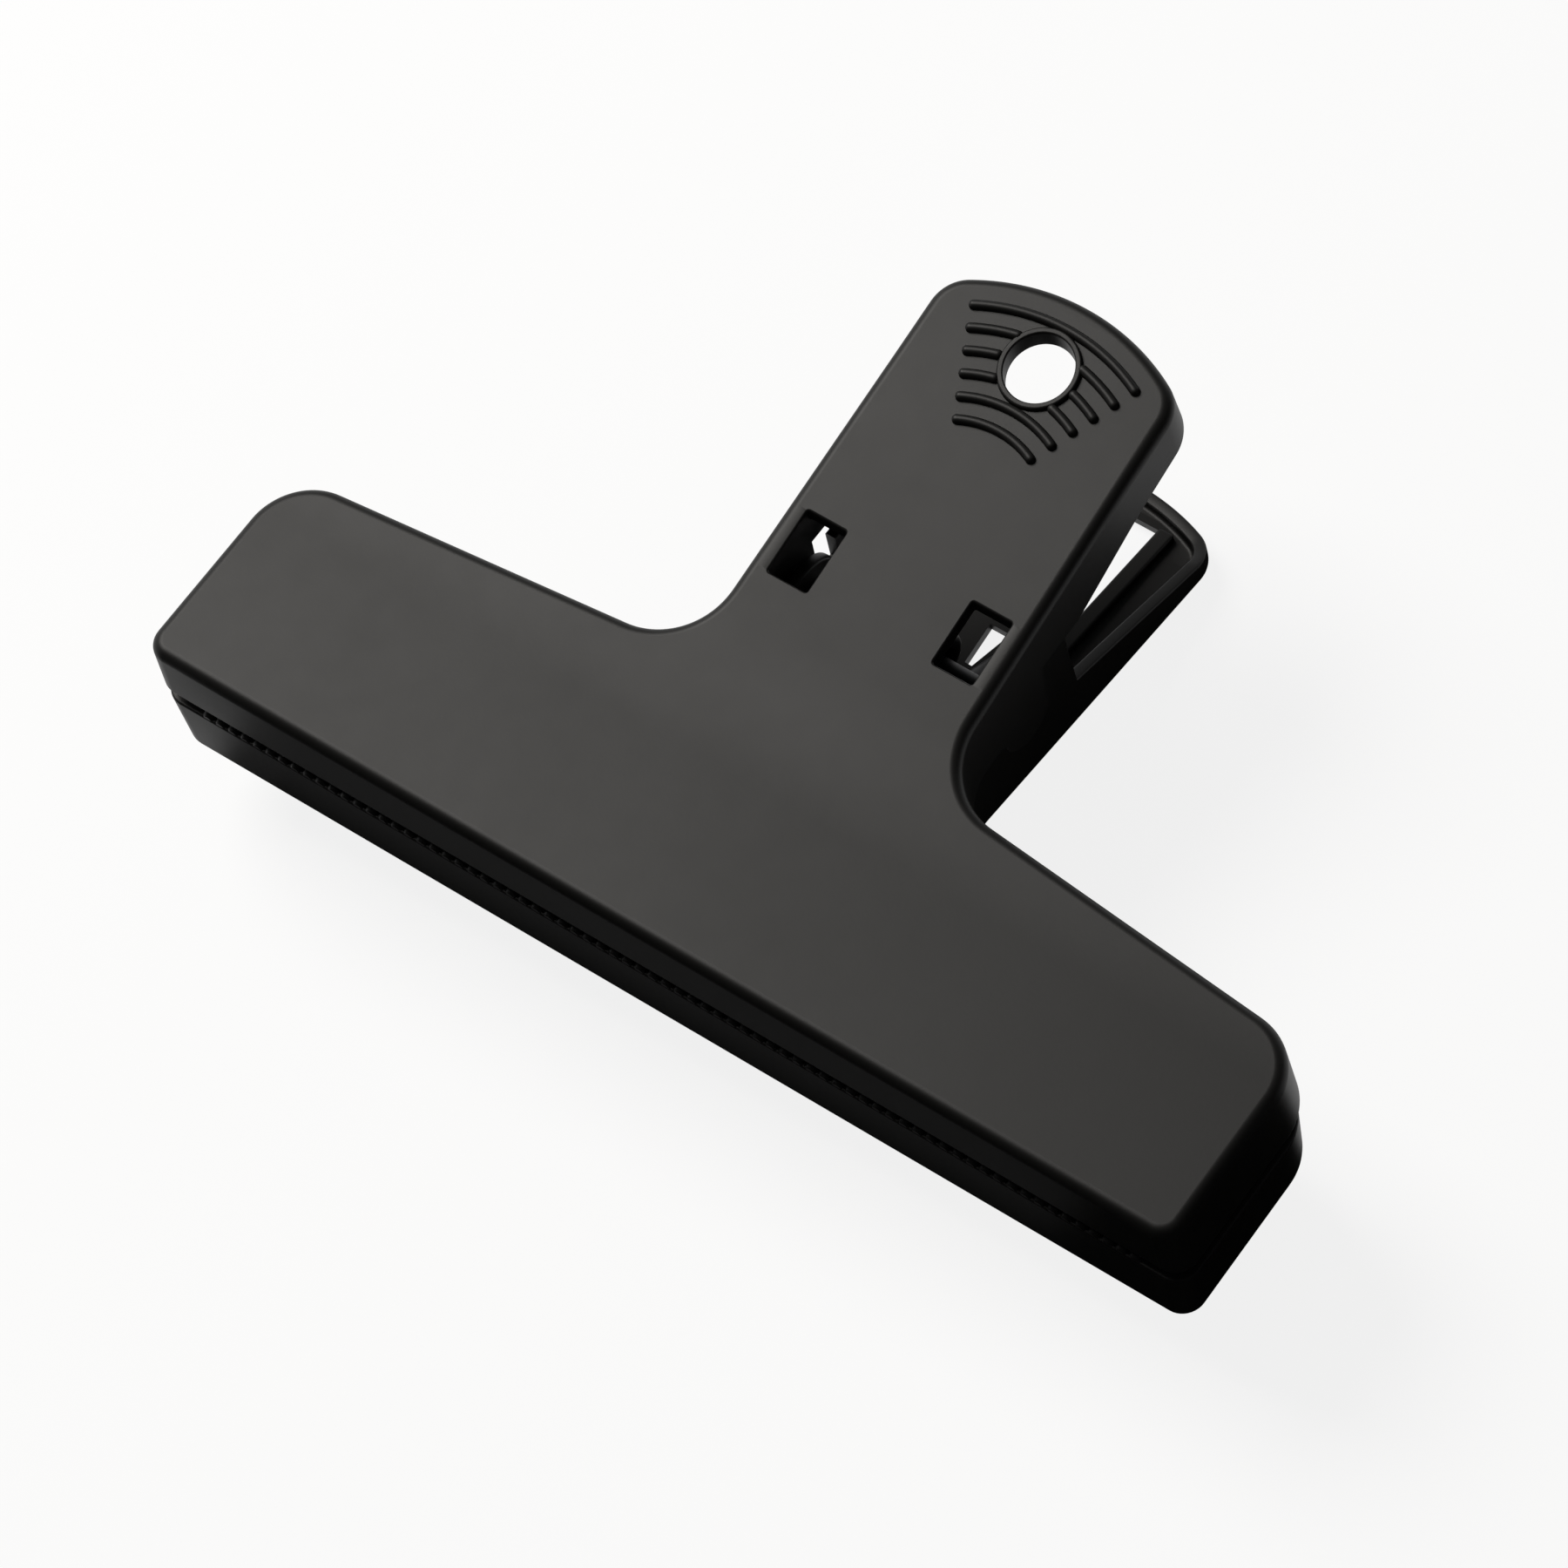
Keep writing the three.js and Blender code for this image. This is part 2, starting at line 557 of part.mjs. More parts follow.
function lowerLever() {
  const bottom = filletRings(lowerPlan, lowerFace, -1).reverse();
  let body = solid(loft([...bottom, ring(lowerPlan, 0, () => topFace)]));
  const cavity = [ring(lowerPlan, WALL, floor), ring(lowerPlan, WALL, () => topFace + OVERLAP)];
  body = body.subtract(solid(loft(cavity)));
  body = body.add(jawRibs(lowerPlan, LOWER_PLATE / 2 - topFace, LOWER_PLATE + JAW_RIB_HEIGHT - topFace));
  body = body.subtract(profileAlongX(aboveLowerEdge(), -FAR, FAR));
  body = body.add(lipTeeth());

  for (const side of [-1, 1]) {
    const from = side * bossEnd;
    const to = side * (lowerOuterAtPivot - WALL / 2);
    body = body.add(barAlongX(Math.min(from, to), Math.max(from, to), PIVOT_Y, PIVOT_Z, BOSS_RADIUS));
  }
  body = body.subtract(pinBores(bossEnd - OVERLAP, lowerOuterAtPivot + OVERLAP));

  const slotRear = lowerTip - FLOOR_SLOT_REAR_FROM_TIP;
  const half = FLOOR_SLOT_WIDTH / 2;
  const railFar = half + SLOT_RAIL_WIDTH;
  for (const [from, to] of [[-railFar, -half], [half, railFar]]) {
    const rail = rectangle(from, to, SLOT_RAIL_FRONT, slotRear);
    body = body.add(onHandle(rail, -LOWER_PLATE / 2, SLOT_RAIL_HEIGHT, floor));
  }
  const slot = rectangle(-half, half, FLOOR_SLOT_FRONT, slotRear);
  const relief = [
    new THREE.Vector2(-RELIEF_FRONT_WIDTH / 2, RELIEF_FRONT),
    new THREE.Vector2(RELIEF_FRONT_WIDTH / 2, RELIEF_FRONT),
    new THREE.Vector2(RELIEF_REAR_WIDTH / 2, RELIEF_REAR),
    new THREE.Vector2(-RELIEF_REAR_WIDTH / 2, RELIEF_REAR),
  ];
  for (const opening of [slot, relief]) {
    body = body.subtract(onHandle(opening, -LOWER_PLATE - OVERLAP, OVERLAP, floor));
  }

  const seatTop = LOWER_PLATE / 2 - topFace;
  const wellTop = LOWER_PLATE + JAW_RIB_HEIGHT + OVERLAP - topFace;
  const seatBottom = magnetFace + MAGNET_PROUD;
  const seat = box(-seatHalfLength, seatHalfLength, SEAT_FRONT_SETBACK, seatRear, seatBottom, seatTop);
  const well = magnetBox(0, magnetBack + MAGNET_CLEARANCE + SEAT_SHELF, wellTop);
  const pocket = magnetBox(MAGNET_CLEARANCE, magnetFace - OVERLAP, magnetBack + MAGNET_CLEARANCE);
  return geometryOf(body.add(seat).subtract(well).subtract(pocket));
}

function hingePin() {
  const halfLength = socketEnd - PIN_CLEARANCE;
  return geometryOf(barAlongX(-halfLength, halfLength, PIVOT_Y, PIVOT_Z, PIN_RADIUS));
}

const coilRadius = PIN_RADIUS + COIL_INNER_CLEARANCE + WIRE_DIAMETER / 2;

// Centre line of the spring: one leg on the lower floor, the coil round the pin, the other leg on the ceiling
function springRoute() {
  const legY = PIVOT_Y + LEG_REACH;
  const slopeGap = (WIRE_DIAMETER / 2 + LEG_SEAT_GAP) / Math.cos(SPLAY_ANGLE);
  const lowerEnd = new THREE.Vector2(legY, floor(legY) + slopeGap);
  const upperEnd = new THREE.Vector2(legY, ceiling(legY) - slopeGap);
  const pivot = new THREE.Vector2(PIVOT_Y, PIVOT_Z);
  const leaveAngle = (end, sign) => {
    const offset = end.clone().sub(pivot);
    return offset.angle() + sign * Math.acos(coilRadius / offset.length());
  };
  const lowerAngle = leaveAngle(lowerEnd, -1);
  const upperAngle = leaveAngle(upperEnd, 1) - 2 * Math.PI * COIL_TURNS;
  const halfCoil = COIL_TURNS * COIL_PITCH / 2;
  const points = [];
  const steps = STEPS_PER_TURN * COIL_TURNS;
  const coilPoint = (share) => {
    const angle = THREE.MathUtils.lerp(lowerAngle, upperAngle, share);
    return new THREE.Vector3(THREE.MathUtils.lerp(halfCoil, -halfCoil, share),
      PIVOT_Y + coilRadius * Math.cos(angle), PIVOT_Z + coilRadius * Math.sin(angle));
  };
  const first = coilPoint(0);
  const last = coilPoint(1);
  for (let i = 0; i < LEG_STEPS; i += 1) {
    points.push(new THREE.Vector3(first.x, lowerEnd.x, lowerEnd.y).lerp(first, i / LEG_STEPS));
  }
  for (let i = 0; i <= steps; i += 1) {
    points.push(coilPoint(i / steps));
  }
  for (let i = 1; i <= LEG_STEPS; i += 1) {
    points.push(last.clone().lerp(new THREE.Vector3(last.x, upperEnd.x, upperEnd.y), i / LEG_STEPS));
  }
  return points;
}

// One unbroken tube along a list of points, with its ends closed
function tube(points, radius, sides) {
  const vertices = [];
  let across = new THREE.Vector3(1, 0, 0);
  points.forEach((point, i) => {
    const before = points[Math.max(0, i - 1)];
    const after = points[Math.min(points.length - 1, i + 1)];
    const along = after.clone().sub(before).normalize();
    across = across.sub(along.clone().multiplyScalar(across.dot(along))).normalize();
    const second = along.clone().cross(across);
    for (let s = 0; s < sides; s += 1) {
      const angle = 2 * Math.PI * s / sides;
      const rim = point.clone().addScaledVector(across, radius * Math.cos(angle));
      vertices.push(rim.addScaledVector(second, radius * Math.sin(angle)));
    }
  });
  const triangles = [];
  for (let i = 0; i + 1 < points.length; i += 1) {
    for (let s = 0; s < sides; s += 1) {
      const a = i * sides + s;
      const b = i * sides + (s + 1) % sides;
      triangles.push(a, b, b + sides, a, b + sides, a + sides);
    }
  }
  const end = (points.length - 1) * sides;
  for (let s = 1; s + 1 < sides; s += 1) {
    triangles.push(0, s + 1, s, end, end + s, end + s + 1);
  }
  return meshGeometry(vertices, triangles);
}

// Least clear distance between stretches of the wire that are more than half a turn apart
function leastSpringGap(points) {
  const apart = STEPS_PER_TURN / 2 + 1;
  let least = Infinity;
  for (let i = 0; i < points.length; i += 1) {
    for (let j = i + apart; j < points.length; j += 1) {
      least = Math.min(least, points[i].distanceTo(points[j]) - WIRE_DIAMETER);
    }
  }
  return least;
}

function torsionSpring() {
  const route = springRoute();
  console.log(`torsion_spring least gap to itself: ${leastSpringGap(route).toFixed(2)} mm`);
  return tube(route, WIRE_DIAMETER / 2, WIRE_SIDES);
}

function magnetBar() {
  return geometryOf(magnetBox(0, magnetFace, magnetBack));
}

function part(name, geometry, color, roughness, metalness) {
  const mesh = new THREE.Mesh(geometry, new THREE.MeshStandardMaterial({ color, roughness, metalness }));
  mesh.name = name;
  return mesh;
}

const BLACK_PLASTIC = 0x46433f;
const BLACKED_STEEL = 0x6a6a6c;
const FERRITE = 0x2b2b2e;

const group = new THREE.Group();
group.add(part('lower_lever', lowerLever(), BLACK_PLASTIC, 0.55, 0));
group.add(part('upper_lever', upperLever(), BLACK_PLASTIC, 0.55, 0));
group.add(part('hinge_pin', hingePin(), BLACKED_STEEL, 0.35, 1));
group.add(part('torsion_spring', torsionSpring(), BLACKED_STEEL, 0.4, 1));
group.add(part('magnet_bar', magnetBar(), FERRITE, 0.7, 0));
group.position.set(0, -lowerTip / 2, restHeight);

export default group;
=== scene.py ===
"""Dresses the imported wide-jaw magnetic clip: two moulded levers, hinge pin, torsion spring and magnet bar.

Sizes are millimetres in the clip's design frame: X along the jaw, Y from the front lip to the handle tips and
Z = 0 midway between the jaw faces. They become metres in the row frame when a mesh is made.
"""

import logging
import math
from dataclasses import dataclass, field
from enum import Enum
from typing import Any, Callable, Mapping, Sequence

import bmesh
import bpy
import numpy as np
from mathutils import Matrix, Vector

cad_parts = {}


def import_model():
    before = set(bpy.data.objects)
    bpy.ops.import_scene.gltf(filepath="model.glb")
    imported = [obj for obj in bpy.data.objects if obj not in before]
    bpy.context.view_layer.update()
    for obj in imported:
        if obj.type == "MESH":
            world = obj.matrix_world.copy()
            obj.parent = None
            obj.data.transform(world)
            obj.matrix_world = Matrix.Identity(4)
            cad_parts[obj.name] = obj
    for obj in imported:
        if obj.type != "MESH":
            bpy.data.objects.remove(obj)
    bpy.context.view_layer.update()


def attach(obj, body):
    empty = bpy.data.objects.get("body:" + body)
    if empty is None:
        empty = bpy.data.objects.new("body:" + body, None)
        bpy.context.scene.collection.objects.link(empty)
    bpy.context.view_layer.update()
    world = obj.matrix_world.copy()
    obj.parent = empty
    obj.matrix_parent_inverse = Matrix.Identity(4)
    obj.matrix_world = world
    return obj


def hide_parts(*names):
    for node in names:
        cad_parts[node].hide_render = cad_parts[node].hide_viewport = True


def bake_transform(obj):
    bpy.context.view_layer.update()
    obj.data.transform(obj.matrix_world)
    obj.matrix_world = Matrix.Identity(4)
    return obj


LOG = logging.getLogger("magnetic_clip")
Piece = bpy.types.Object
Material = bpy.types.Material
Socket = bpy.types.NodeSocket
Points = np.ndarray
Pair = tuple[float, float]
Triple = tuple[float, float, float]
HeightAt = Callable[[float], float]
MILLIMETRE = 0.001


class Caps(Enum):
    """How the two ends of a stack of rings are closed."""

    STRIPS = "strips across from the right side to the left"
    FLAT = "one flat face"


class Join(Enum):
    """How a second solid changes a first one."""

    ADD = "UNION"
    CUT = "DIFFERENCE"


class Body(Enum):
    """The two bodies of the clip that move against each other."""

    LOWER = "lower"
    UPPER = "upper"


# Node making


class Signal:
    """A number socket of a node tree; arithmetic on it adds Math nodes to that tree."""

    def __init__(self, maker: "NodeMaker", socket: Socket) -> None:
        """Wraps a socket.

        Args:
            maker: what adds nodes to the socket's tree.
            socket: the output socket that carries the number.
        """
        self.maker = maker
        self.socket = socket

    def _math(self, operation: str, first: Any, second: Any = None) -> "Signal":
        """Adds one Math node.

        Args:
            operation: the Math node's operation.
            first: its first value or signal.
            second: its second value or signal, if it takes one.

        Returns:
            The signal of the result.
        """
        values = {0: first} if second is None else {0: first, 1: second}
        return self.maker.signal("ShaderNodeMath", {"operation": operation}, values)

    def __add__(self, other: Any) -> "Signal":
        """Sum."""
        return self._math("ADD", self, other)

    def __radd__(self, other: Any) -> "Signal":
        """Sum with a plain number on the left."""
        return self._math("ADD", other, self)

    def __sub__(self, other: Any) -> "Signal":
        """Difference."""
        return self._math("SUBTRACT", self, other)

    def __rsub__(self, other: Any) -> "Signal":
        """Difference from a plain number."""
        return self._math("SUBTRACT", other, self)

    def __mul__(self, other: Any) -> "Signal":
        """Product."""
        return self._math("MULTIPLY", self, other)

    def __rmul__(self, other: Any) -> "Signal":
        """Product with a plain number on the left."""
        return self._math("MULTIPLY", other, self)

    def __truediv__(self, other: Any) -> "Signal":
        """Quotient."""
        return self._math("DIVIDE", self, other)

    def __pow__(self, other: Any) -> "Signal":
        """Power."""
        return self._math("POWER", self, other)

    def least(self, other: Any) -> "Signal":
        """The smaller of two numbers."""
        return self._math("MINIMUM", self, other)

    def most(self, other: Any) -> "Signal":
        """The larger of two numbers."""
        return self._math("MAXIMUM", self, other)

    def root(self) -> "Signal":
        """Square root."""
        return self._math("SQRT", self)

    def below(self, other: Any) -> "Signal":
        """One where this number is less than the other, else zero."""
        return self._math("LESS_THAN", self, other)


class NodeMaker:
    """Adds nodes to one shader or geometry tree."""

    def __init__(self, tree: bpy.types.NodeTree) -> None:
        """Keeps the tree that nodes go into.

        Args:
            tree: a shader or geometry node tree.
        """
        self.tree = tree

    def make(self, kind: str, settings: Mapping[str, Any] | None = None,
             inputs: Mapping[Any, Any] | None = None) -> bpy.types.Node:
        """Adds a node, sets it up and feeds its sockets.

        Args:
            kind: the node's type name.
            settings: its properties; "stops" gives a colour ramp's (place, grey) pairs.
            inputs: a value, signal or socket for each input named or numbered.

        Returns:
            The new node.
        """
        node = self.tree.nodes.new(kind)
        for key, value in (settings or {}).items():
            if key == "stops":
                ramp = node.color_ramp
                while len(ramp.elements) < len(value):
                    ramp.elements.new(0.5)
                for element, (place, grey) in zip(ramp.elements, value):
                    element.position, element.color = place, (grey, grey, grey, 1)
            else:
                setattr(node, key, value)
        for key, value in (inputs or {}).items():
            target = node.inputs[key]
            if isinstance(value, Signal):
                self.tree.links.new(value.socket, target)
            elif isinstance(value, Socket):
                self.tree.links.new(value, target)
            else:
                target.default_value = value
        return node

    def signal(self, kind: str, settings: Mapping[str, Any] | None = None,
               inputs: Mapping[Any, Any] | None = None, output: Any = 0) -> Signal:
        """Adds a node and returns one of its outputs as a signal.

        Args:
            kind: the node's type name.
            settings: its properties.
            inputs: a value, signal or socket for each input.
            output: the name or number of the output.

        Returns:
            The signal of that output.
        """
        return Signal(self, self.make(kind, settings, inputs).outputs[output])

    def vector(self, x: Any = 0.0, y: Any = 0.0, z: Any = 0.0) -> Socket:
        """Joins three numbers or signals into a vector.

        Args:
            x: the first part.
            y: the second part.
            z: the third part.

        Returns:
            The vector.
        """
        return self.make("ShaderNodeCombineXYZ", None, {0: x, 1: y, 2: z}).outputs[0]

    def parts(self, vector: Socket) -> list[Signal]:
        """The x, y and z of a vector."""
        outputs = self.make("ShaderNodeSeparateXYZ", None, {0: vector}).outputs
        return [Signal(self, output) for output in outputs]

    def across(self) -> list[Signal]:
        """The x and y of the point that a geometry tree is working on."""
        return self.parts(self.make("GeometryNodeInputPosition").outputs[0])[:2]

    def from_end(self) -> Signal:
        """Distance along a curve from a point to the curve's nearer end.

        Returns:
            The signal of that distance.
        """
        along = self.signal("GeometryNodeSplineParameter", None, None, "Length")
        whole = self.signal("GeometryNodeSplineLength", None, None, "Length")
        return along.least(whole - along)

    def sweep(self, curve: Socket, swell: Signal, radius: Signal, sides: Any) -> Socket:
        """Sweeps a round section along curves and closes the ends.

        Args:
            curve: the curves.
            swell: share of the full radius at each point.
            radius: the full radius.
            sides: faces round the section.

        Returns:
            The tubes.
        """
        shaped = self.make("GeometryNodeSetCurveRadius", None, {"Curve": curve, "Radius": swell})
        section = self.make("GeometryNodeCurvePrimitiveCircle", None, {"Resolution": sides, "Radius": radius})
        tubes = self.make("GeometryNodeCurveToMesh", None,
                          {"Curve": shaped.outputs[0], "Profile Curve": section.outputs[0], "Fill Caps": True,
                           "Scale": self.signal("GeometryNodeInputRadius")})
        return tubes.outputs[0]


class GrowTree:
    """A geometry node tree with named inputs, which ends in real geometry with a material."""

    def __init__(self, name: str) -> None:
        """Starts an empty tree.

        Args:
            name: the tree's name.
        """
        self.tree = bpy.data.node_groups.new(name, "GeometryNodeTree")
        self.tree.interface.new_socket("Geometry", in_out="INPUT", socket_type="NodeSocketGeometry")
        self.tree.interface.new_socket("Geometry", in_out="OUTPUT", socket_type="NodeSocketGeometry")
        self.maker = NodeMaker(self.tree)
        self.entry = self.maker.make("NodeGroupInput")

    def number(self, name: str, whole: bool = False) -> Signal:
        """Adds a named number input.

        Args:
            name: what the input is called.
            whole: whether it is a whole number.

        Returns:
            The signal of the input.
        """
        kind = "NodeSocketInt" if whole else "NodeSocketFloat"
        self.tree.interface.new_socket(name, in_out="INPUT", socket_type=kind)
        return Signal(self.maker, self.entry.outputs[name])

    def close(self, shape: Socket, material: Material) -> None:
        """Makes instances real, shades smoothly and sets the material.

        Args:
            shape: the geometry that the tree made.
            material: what it is finished in.
        """
        real = self.maker.make("GeometryNodeRealizeInstances", None, {0: shape})
        smooth = self.maker.make("GeometryNodeSetShadeSmooth", None, {0: real.outputs[0]})
        dressed = self.maker.make("GeometryNodeSetMaterial", None,
                                  {"Geometry": smooth.outputs[0], "Material": material})
        self.maker.make("NodeGroupOutput", None, {0: dressed.outputs[0]})

    def grow(self, name: str, values: Mapping[str, float], start: bpy.types.Mesh | None = None) -> Piece:
        """Runs the tree once and keeps the result as a plain mesh.

        Args:
            name: the new piece's name.
            values: a number for each named input.
            start: the mesh that the tree begins with, if it needs one.

        Returns:
            The plain piece.
        """
        host = bpy.data.objects.new(name + "_host", start or bpy.data.meshes.new(name + "_host"))
        bpy.context.scene.collection.objects.link(host)
        modifier = host.modifiers.new("grow", "NODES")
        modifier.node_group = self.tree
        for item in self.tree.interface.items_tree:
            if item.item_type == "SOCKET" and item.in_out == "INPUT" and item.name in values:
                modifier[item.identifier] = values[item.name]
        return settle(host, name)


# Finishes


@dataclass(frozen=True)
class Finish:
    """What the finishes share: a way to start a material and to read places on the object."""

    name: str

    def start(self) -> tuple[Material, NodeMaker, bpy.types.Node, Socket]:
        """Starts a node material.

        Returns:
            The material, its node maker, its Principled shader and the Object coordinate socket.
        """
        material = bpy.data.materials.new(self.name)
        material.use_nodes = True
        maker = NodeMaker(material.node_tree)
        shader = material.node_tree.nodes["Principled BSDF"]
        place = maker.make("ShaderNodeTexCoord").outputs["Object"]
        return material, maker, shader, place

    @staticmethod
    def noise(maker: NodeMaker, place: Any, scale: float, detail: float = 2.0) -> Signal:
        """Adds a noise pattern.

        Args:
            maker: what adds the nodes.
            place: the coordinates to read.
            scale: cells a metre.
            detail: how many finer layers it has.

        Returns:
            The pattern, from about 0 to 1.
        """
        return maker.signal("ShaderNodeTexNoise", None, {"Vector": place, "Scale": scale, "Detail": detail})

    @staticmethod
    def stretched(maker: NodeMaker, place: Any, scale: Sequence[float]) -> Socket:
        """Coordinates stretched along one direction, for lines and scuffs.

        Args:
            maker: what adds the nodes.
            place: the coordinates to stretch.
            scale: factors along X, Y and Z.

        Returns:
            The stretched coordinates.
        """
        return maker.make("ShaderNodeMapping", None, {"Vector": place, "Scale": scale}).outputs[0]

    @staticmethod
    def surface(maker: NodeMaker, shader: bpy.types.Node, share: Signal, colours: Sequence[Sequence[float]],
                rough: Signal, relief: tuple[float, float, Signal]) -> None:
        """Feeds the shader a blend of two colours, a roughness and a fine relief.

        Args:
            maker: what adds the nodes.
            shader: the Principled shader.
            share: how far the colour has gone from the first to the second.
            colours: the two colours.
            rough: the roughness.
            relief: the bump's strength, its depth in millimetres and its height.
        """
        strength, depth, height = relief
        blend = maker.make("ShaderNodeMix", {"data_type": "RGBA"},
                           {"Factor": share, 6: (*colours[0], 1), 7: (*colours[1], 1)})
        bump = maker.make("ShaderNodeBump", None,
                          {"Strength": strength, "Distance": depth * MILLIMETRE, "Height": height})
        for name, source in (("Base Color", blend.outputs[2]), ("Roughness", rough.socket),
                             ("Normal", bump.outputs[0])):
            maker.tree.links.new(source, shader.inputs[name])


@dataclass(frozen=True)
class MouldedPlastic(Finish):
    """Black moulded plastic with a fine satin grain and faint cloudy flow marks."""

    dark: Triple = (0.0022, 0.0021, 0.0019)
    light: Triple = (0.0036, 0.0034, 0.0031)
    roughness: float = 0.46
    specular: float = 0.24
    grain_cells: float = 4200.0
    grain_depth: float = 0.010
    grain_strength: float = 0.35
    flow_cells: float = 45.0
    flow_share: float = 0.6
    flow_rough: float = 0.06
    cloud_cells: float = 405.0
    cloud_share: float = 0.4
    cloud_rough: float = 0.03

    def build(self) -> Material:
        """Makes the material.

        Returns:
            The finished material.
        """
        material, maker, shader, place = self.start()
        flow = self.noise(maker, place, self.flow_cells, detail=4.0)
        grain = self.noise(maker, place, self.grain_cells, detail=3.0)
        cloud = self.noise(maker, place, self.cloud_cells, detail=3.0)
        tone = (flow * self.flow_share + cloud * self.cloud_share).most(0.0).least(1.0)
        rough = self.roughness + (flow - 0.5) * self.flow_rough + (cloud - 0.5) * self.cloud_rough
        shader.inputs["Specular IOR Level"].default_value = self.specular
        self.surface(maker, shader, tone, (self.dark, self.light), rough,
                     (self.grain_strength, self.grain_depth, grain))
        return material


@dataclass(frozen=True)
class DrawnSteel(Finish):
    """Blackened steel with fine draw lines along X and patches of a dull oil film."""

    bright: Triple = (0.036, 0.036, 0.038)
    dull: Triple = (0.018, 0.018, 0.0175)
    roughness: float = 0.42
    line_stretch: Triple = (140.0, 9000.0, 9000.0)
    line_rough: float = 0.14
    line_depth: float = 0.004
    line_strength: float = 0.3
    film_cells: float = 260.0
    film_rough: float = 0.16

    def build(self) -> Material:
        """Makes the material.

        Returns:
            The finished material.
        """
        material, maker, shader, place = self.start()
        lines = self.noise(maker, self.stretched(maker, place, self.line_stretch), 1.0)
        film = self.noise(maker, place, self.film_cells, detail=3.0)
        rough = self.roughness + lines * self.line_rough + (film - 0.5) * self.film_rough
        shader.inputs["Metallic"].default_value = 1.0
        self.surface(maker, shader, film, (self.bright, self.dull), rough,
                     (self.line_strength, self.line_depth, lines))
        return material


@dataclass(frozen=True)
class SinteredFerrite(Finish):
    """Dark grey pressed ferrite with grinding lines, pores and a dusty bloom."""

    dark: Triple = (0.026, 0.026, 0.029)
    light: Triple = (0.062, 0.061, 0.064)
    roughness: float = 0.58
    bloom_cells: float = 130.0
    bloom_share: float = 0.7
    bloom_rough: float = 0.14
    grind_stretch: Triple = (60.0, 3600.0, 3600.0)
    grind_share: float = 0.3
    pore_cells: float = 1900.0
    pore_size: float = 0.16
    pore_share: float = 0.5
    pore_rough: float = 0.2
    relief_depth: float = 0.02
    relief_strength: float = 0.5

    def build(self) -> Material:
        """Makes the material.

        Returns:
            The finished material.
        """
        material, maker, shader, place = self.start()
        bloom = self.noise(maker, place, self.bloom_cells, detail=4.0)
        grind = self.noise(maker, self.stretched(maker, place, self.grind_stretch), 1.0)
        cells = maker.signal("ShaderNodeTexVoronoi", None, {"Vector": place, "Scale": self.pore_cells})
        pores = cells.below(self.pore_size)
        tone = (bloom * self.bloom_share + grind * self.grind_share - pores * self.pore_share).most(0.0)
        rough = self.roughness + (bloom - 0.5) * self.bloom_rough + pores * self.pore_rough
        self.surface(maker, shader, tone, (self.dark, self.light), rough,
                     (self.relief_strength, self.relief_depth, grind * 0.5 - pores))
        return material


# Mesh making


@dataclass(frozen=True)
class ClipFrame:
    """Heights and places that the whole clip shares."""

    jaw_thickness: float = 14.8
    splay_angle: float = math.radians(10.3)
    bend_start: float = 15.4
    bend_length: float = 12.0
    pivot_y: float = 34.0
    pivot_z: float = 0.8
    middle_y: float = 31.1
    lowest_y: float = 61.2

    @property
    def top(self) -> float:
        """Height of the upper jaw's face."""
        return self.jaw_thickness / 2

    @property
    def slope(self) -> float:
        """Rise of a handle for each millimetre along it."""
        return math.tan(self.splay_angle)

    def splay(self, y: float) -> float:
        """How far a handle has splayed from the jaw's plane.

        Args:
            y: distance from the front edge.

        Returns:
            The splay in millimetres.
        """
        into = min(max(y - self.bend_start, 0.0), self.bend_length)
        past = max(0.0, y - self.bend_start - self.bend_length)
        return self.slope * (into * into / (2 * self.bend_length) + past)

    def upper_face(self, y: float) -> float:
        """Height of the upper lever's outer face at a distance y from the front."""
        return self.top + self.splay(y)

    def lower_face(self, y: float) -> float:
        """Height of the lower lever's outer face at a distance y from the front."""
        return -self.upper_face(y)

    @property
    def rest(self) -> float:
        """Height of the plane that the clip lies on."""
        return self.lower_face(self.lowest_y)

    def row(self, points: Any) -> Points:
        """Turns design millimetres into row metres.

        Args:
            points: places as rows of x, y and z.

        Returns:
            The same places in the row frame.
        """
        shift = np.array([0.0, -self.middle_y, -self.rest])
        return (np.asarray(points, float) + shift) * MILLIMETRE


FRAME = ClipFrame()
LEAST_RADIUS = 0.02
CUT_PAST_FACE = 0.8
# Radius of a block's or a rail's upright corners, as a share of its edge rounding.
BLOCK_CORNER = 1.6
RAIL_CORNER = 1.3
# How far an opening's rounded edge turns before it meets the face, in how many faces, and its slope there.
FLARE_TURN = math.pi / 2 * 0.86
FLARE_STEPS = 5
FLARE_SLOPE = math.tan(math.pi / 2 * 0.14)


def settle(host: Piece, name: str) -> Piece:
    """Turns an object with modifiers into a plain piece and removes the object.

    Args:
        host: the object with live modifiers.
        name: the plain piece's name.

    Returns:
        The plain piece.
    """
    graph = bpy.context.evaluated_depsgraph_get()
    mesh = bpy.data.meshes.new_from_object(host.evaluated_get(graph), depsgraph=graph)
    mesh.name = name
    piece = bpy.data.objects.new(name, mesh)
    bpy.context.scene.collection.objects.link(piece)
    bpy.data.objects.remove(host)
    return piece


